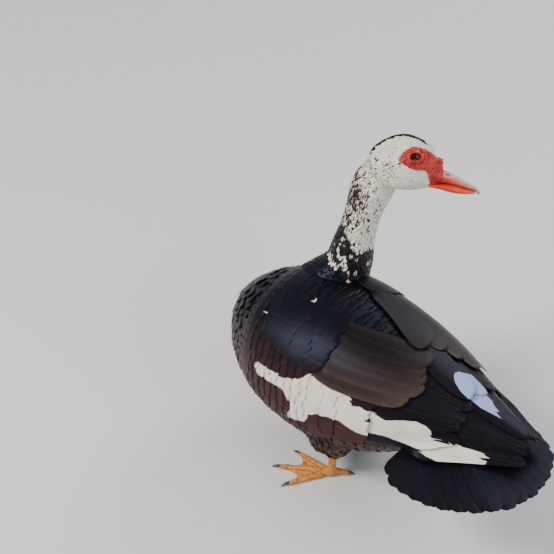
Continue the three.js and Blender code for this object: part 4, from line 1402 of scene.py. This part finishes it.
def wart_tree():
    """Geometry nodes that set small warts over the red skin, and the identifiers of their inputs."""
    tree = bpy.data.node_groups.new("warts", "GeometryNodeTree")
    face = tree.interface
    face.new_socket("Geometry", in_out="INPUT", socket_type="NodeSocketGeometry")
    sizes = {"Spacing": 0.0016, "Density": 420000.0, "Small": 0.00045, "Large": 0.0011}
    for name, value in sizes.items():
        face.new_socket(name, in_out="INPUT", socket_type="NodeSocketFloat").default_value = value
    face.new_socket("Seed", in_out="INPUT", socket_type="NodeSocketInt").default_value = 3
    face.new_socket("Finish", in_out="INPUT", socket_type="NodeSocketMaterial")
    face.new_socket("Geometry", in_out="OUTPUT", socket_type="NodeSocketGeometry")
    start = tree.nodes.new("NodeGroupInput")
    scatter = tree.nodes.new("GeometryNodeDistributePointsOnFaces")
    scatter.distribute_method = "POISSON"
    wart = tree.nodes.new("GeometryNodeMeshIcoSphere")
    wart.inputs["Subdivisions"].default_value = 2
    wart.inputs["Radius"].default_value = 1.0
    size = tree.nodes.new("FunctionNodeRandomValue")
    place = tree.nodes.new("GeometryNodeInstanceOnPoints")
    real = tree.nodes.new("GeometryNodeRealizeInstances")
    paint = tree.nodes.new("GeometryNodeSetMaterial")
    end = tree.nodes.new("NodeGroupOutput")
    for source, output, target, socket in (
        (start, "Geometry", scatter, "Mesh"), (start, "Spacing", scatter, "Distance Min"),
        (start, "Density", scatter, "Density Max"), (start, "Seed", scatter, "Seed"),
        (start, "Small", size, 2), (start, "Large", size, 3), (start, "Seed", size, "Seed"),
        (scatter, "Points", place, "Points"), (scatter, "Rotation", place, "Rotation"),
        (wart, "Mesh", place, "Instance"), (size, 1, place, "Scale"),
        (place, "Instances", real, 0), (real, 0, paint, "Geometry"),
        (start, "Finish", paint, "Material"), (paint, 0, end, 0),
    ):
        tree.links.new(source.outputs[output], target.inputs[socket])
    return tree, {item.name: item.identifier for item in face.items_tree if item.in_out == "INPUT"}


def face_warts(side_name, seed, mask):
    """Small warts over one side's red skin, as a plain mesh."""
    host = mask.copy()
    host.data = mask.data.copy()
    bpy.context.scene.collection.objects.link(host)
    modifier = host.modifiers.new("warts", "NODES")
    modifier.node_group = warts_tree
    modifier[warts_inputs["Seed"]] = seed
    modifier[warts_inputs["Finish"]] = face_red
    return add_object(f"face_warts_{side_name}", plain_mesh(host))


def face_knob():
    """Warty knob over the root of the bill."""
    random = np.random.default_rng(77)
    parts = []
    for _ in range(90):
        turn = random.random() * math.pi
        place = np.array([17 + 10 * random.random(), 7.6 * math.cos(turn), -6.6 + 4.6 * math.sin(turn)])
        place[2] += 0.42 * (24 - place[0])
        parts.append(loft(ball(9, 12, 0.05) * (0.9 + 0.8 * random.random()) + place))
    parts.append(loft(ball(13, 20, 0.05) * np.array([6.0, 7.4, 4.4]) + np.array([22.5, 0, -6.2])))
    return fused("face_knob", [(from_head(p), f) for p, f in parts], 0.5, 2, face_red)


warts_tree, warts_inputs = wart_tree()
faces_red = {}
for seed, (side_name, side) in enumerate(SIDES.items(), 3):
    mask = face_mask(side_name, side)
    faces_red[side_name] = [mask, face_warts(side_name, seed, mask)]
knob = face_knob()

# Legs and feet. A toe's joints: share of its length, height, and whether it swells there
TOE_JOINTS = [
    (0.18, 4.4, False), (0.3, 4.2, True), (0.45, 3.8, False), (0.56, 3.9, True),
    (0.72, 3.2, False), (0.84, 3.2, True), (1.0, 2.4, False),
]
WEB_STEPS = 13
CLAW_LENGTH = 8
HIND_CLAW_LENGTH = 6
CLAW_HORN = linear(78, 62, 52)
FLOOR_GAP = 0.02
GROUND = np.array([1, 1, 0])


def heading(degrees):
    return np.array([math.cos(math.radians(degrees)), math.sin(math.radians(degrees)), 0.0])


def ahead_of(place, way, share, height):
    """Point a share of a way ahead of a place, at a height over the floor."""
    return place * GROUND + way * share + [0, 0, height]


def shank(heel, foot):
    return tube([
        [*(heel + [0, 0, 10]), 5.4], [*heel, 5.6],
        [(heel[0] + foot[0]) / 2, (heel[1] + foot[1]) / 2, 26, 4.2],
        [foot[0] + 2, foot[1], 9, 4.8], [foot[0], foot[1], 4.5, 5.6], [foot[0] - 1, foot[1], 1.5, 5.2],
    ], 20, 26)


def toe(foot, way, radius):
    """Front toe with swollen joints."""
    rows = [[*ahead_of(foot, way, -0.08, 5), radius]]
    for share, height, swollen in TOE_JOINTS:
        thick = radius * (1 - 0.36 * share) * (1.1 if swollen else 0.92)
        rows.append([*ahead_of(foot, way, share, height), thick])
    return tube(rows, 14, 24)


def hind_toe(foot, way):
    return tube([
        [*ahead_of(foot, way, 0, 9), 3.6], [*ahead_of(foot, way, 0.5, 5), 3.0],
        [*ahead_of(foot, way, 1, 2.6), 2.3],
    ], 12, 10)


def web(foot, first, second):
    """Rippled web between two toes' ends, drawn in towards the foot along its edge."""
    hub = foot * GROUND
    outer = []
    for k in np.linspace(0, 1, WEB_STEPS):
        edge = first * (1 - k) + second * k
        outer.append(edge + (hub - edge) * (0.08 + 0.2 * math.sin(math.pi * k)))
    steps = np.linspace(0.0, 1, WEB_STEPS + 1)[:, None, None]
    sheet = (hub + (np.array(outer)[None] - hub) * steps).reshape(-1, 3)
    top, low = sheet.copy(), sheet.copy()
    top[:, 2] = 1.7 + 0.5 * np.sin(np.linalg.norm(sheet - hub, axis=1) * 0.9)
    low[:, 2] = 0.05
    return np.concatenate([top, low]), sheet_faces(WEB_STEPS + 1, WEB_STEPS)


def claw(end, way):
    """Curved claw from a toe's end down towards the floor."""
    rows = ((-0.25, 3.2, 1.7), (0.35, 3.3, 1.45), (0.8, 2.0, 0.9), (1, 0.9, 0.3))
    return tube([[*ahead_of(end, way, share, height), radius] for share, height, radius in rows], 12, 12)


def leg_and_claws(side_name, leg):
    """Bare skin of one leg and foot as one closed piece, and its four claws."""
    foot = np.array(leg["ball"], float)
    ways = [heading(leg["turn"] + turn) for turn, _, _ in TOES]
    ends = [ahead_of(foot, way * length, 1.0, 0) for way, (_, length, _) in zip(ways, TOES)]
    hind_way = heading(leg["turn"] + HIND_TOE_TURN)
    parts = [shank(np.array(leg["heel"], float), foot)]
    parts += [toe(foot, way * length, radius) for way, (_, length, radius) in zip(ways, TOES)]
    parts += [web(foot, *ends[:2]), web(foot, *ends[1:])]
    parts.append(hind_toe(foot, hind_way * HIND_TOE_LENGTH))
    skin_piece = fused(f"leg_skin_{side_name}", parts, 0.9, 2, foot_orange)
    points = mesh_points(skin_piece.data)
    points[:, 2] = np.maximum(points[:, 2], FLOOR_GAP * MM)
    skin_piece.data.vertices.foreach_set("co", points.ravel())
    horn = [claw(end, way * CLAW_LENGTH) for way, end in zip(ways, ends)]
    horn.append(claw(ahead_of(foot, hind_way * HIND_TOE_LENGTH, 1, 0), hind_way * HIND_CLAW_LENGTH))
    points, faces = joined(horn)
    points[:, 2] = np.maximum(points[:, 2], 0.05)
    colours = np.tile(CLAW_HORN, (len(points), 1))
    return skin_piece, tinted_object(f"claws_{side_name}", points, faces, colours, claw_horn)


legs, claws = {}, {}
for side_name, leg in LEGS.items():
    legs[side_name], claws[side_name] = leg_and_claws(side_name, leg)

# Every piece rides on the one body and takes the place of its solids
ALL_CLAWS = {s: [f"claw_{s}_{k}" for k in (1, 2, 3, 4)] for s in SIDES}
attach(skin, "root")
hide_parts("torso", "neck", "head", "thigh_left", "thigh_right")
for made, finish in coats:
    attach(made, "root")
WING_NODES = {
    "coverts": "wing_coverts", "secondary": "wing_secondaries", "primary": "wing_primaries",
    "tertial": "tertials", "scapular": "scapulars",
}
for made, kind, side_name in wing_objects:
    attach(made, "root")
    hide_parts(f"{WING_NODES[kind]}_{side_name}")
for made in (*tail_objects, mantle):
    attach(made, "root")
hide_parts("tail")
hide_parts("tail_coverts")
for made, solid_name in zip(bill_pieces, ("bill_upper", "bill_lower")):
    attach(made, "root")
    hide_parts(solid_name)
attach(nail, "root")
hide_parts("bill_nail")
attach(knob, "root")
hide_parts("caruncle_knob")
for side_name in SIDES:
    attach(eyes[side_name], "root")
    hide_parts(f"eye_{side_name}")
    for made in faces_red[side_name]:
        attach(made, "root")
    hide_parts(f"caruncles_{side_name}")
    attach(legs[side_name], "root")
    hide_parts(f"leg_{side_name}", f"foot_{side_name}")
    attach(claws[side_name], "root")
    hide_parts(*ALL_CLAWS[side_name])

# Floor, light and camera
FLOOR_HALF = 6000
LIGHTS = [
    # name, place, aim, size, power, colour
    ("key", (-900, -1500, 1900), (20, 0, 130), 0.9, 62, (1.0, 0.95, 0.87)),
    ("fill", (1700, -300, 1300), (20, 0, 130), 1.6, 20, (0.86, 0.92, 1.0)),
    ("rim", (300, 1700, 1500), (20, 0, 150), 1.2, 22, (1.0, 0.98, 0.94)),
]
floor_finish = Finish("pale_floor", 0.85, 0.2)
floor_finish.fix("Base Color", (0.72, 0.71, 0.69, 1))
floor_corners = [[FLOOR_HALF * x, FLOOR_HALF * y, 0] for x, y in ((-1, -1), (1, -1), (1, 1), (-1, 1))]
floor = make_object("floor", floor_corners, [[0, 1, 2, 3]], floor_finish.material, False)
world = bpy.data.worlds.new("studio")
bpy.context.scene.world = world
world.use_nodes = True
world.node_tree.nodes["Background"].inputs["Color"].default_value = (0.82, 0.88, 1.0, 1)
world.node_tree.nodes["Background"].inputs["Strength"].default_value = 0.5


def soft_light(name, place, aim, size, power, colour):
    """Round area light, aimed at a point."""
    light = bpy.data.lights.new(name, "AREA")
    light.shape = "DISK"
    light.size = size
    light.energy = power
    light.color = colour
    made = add_object(name, light)
    made.location = Vector(placed(place))
    made.rotation_euler = Vector(placed(aim) - placed(place)).to_track_quat("-Z", "Y").to_euler()


def fitted_camera():
    """Camera at the photo's view."""
    lens = bpy.data.cameras.new("camera")
    lens.sensor_width = SENSOR
    lens.lens = SENSOR * FOCAL_PIXELS / PICTURE
    lens.clip_start = 0.05
    lens.clip_end = 60
    turn, down = math.radians(CAMERA_TURN), math.radians(CAMERA_DOWN)
    ahead = Vector((-math.sin(turn) * math.cos(down), math.cos(turn) * math.cos(down), -math.sin(down)))
    right = Vector((math.cos(turn), math.sin(turn), 0))
    basis = Matrix((right, right.cross(ahead), -ahead)).transposed().to_4x4()
    basis.translation = Vector(placed(CAMERA_PLACE))
    made = add_object("camera", lens)
    made.matrix_world = basis
    return made


for light in LIGHTS:
    soft_light(*light)
bpy.context.scene.camera = fitted_camera()
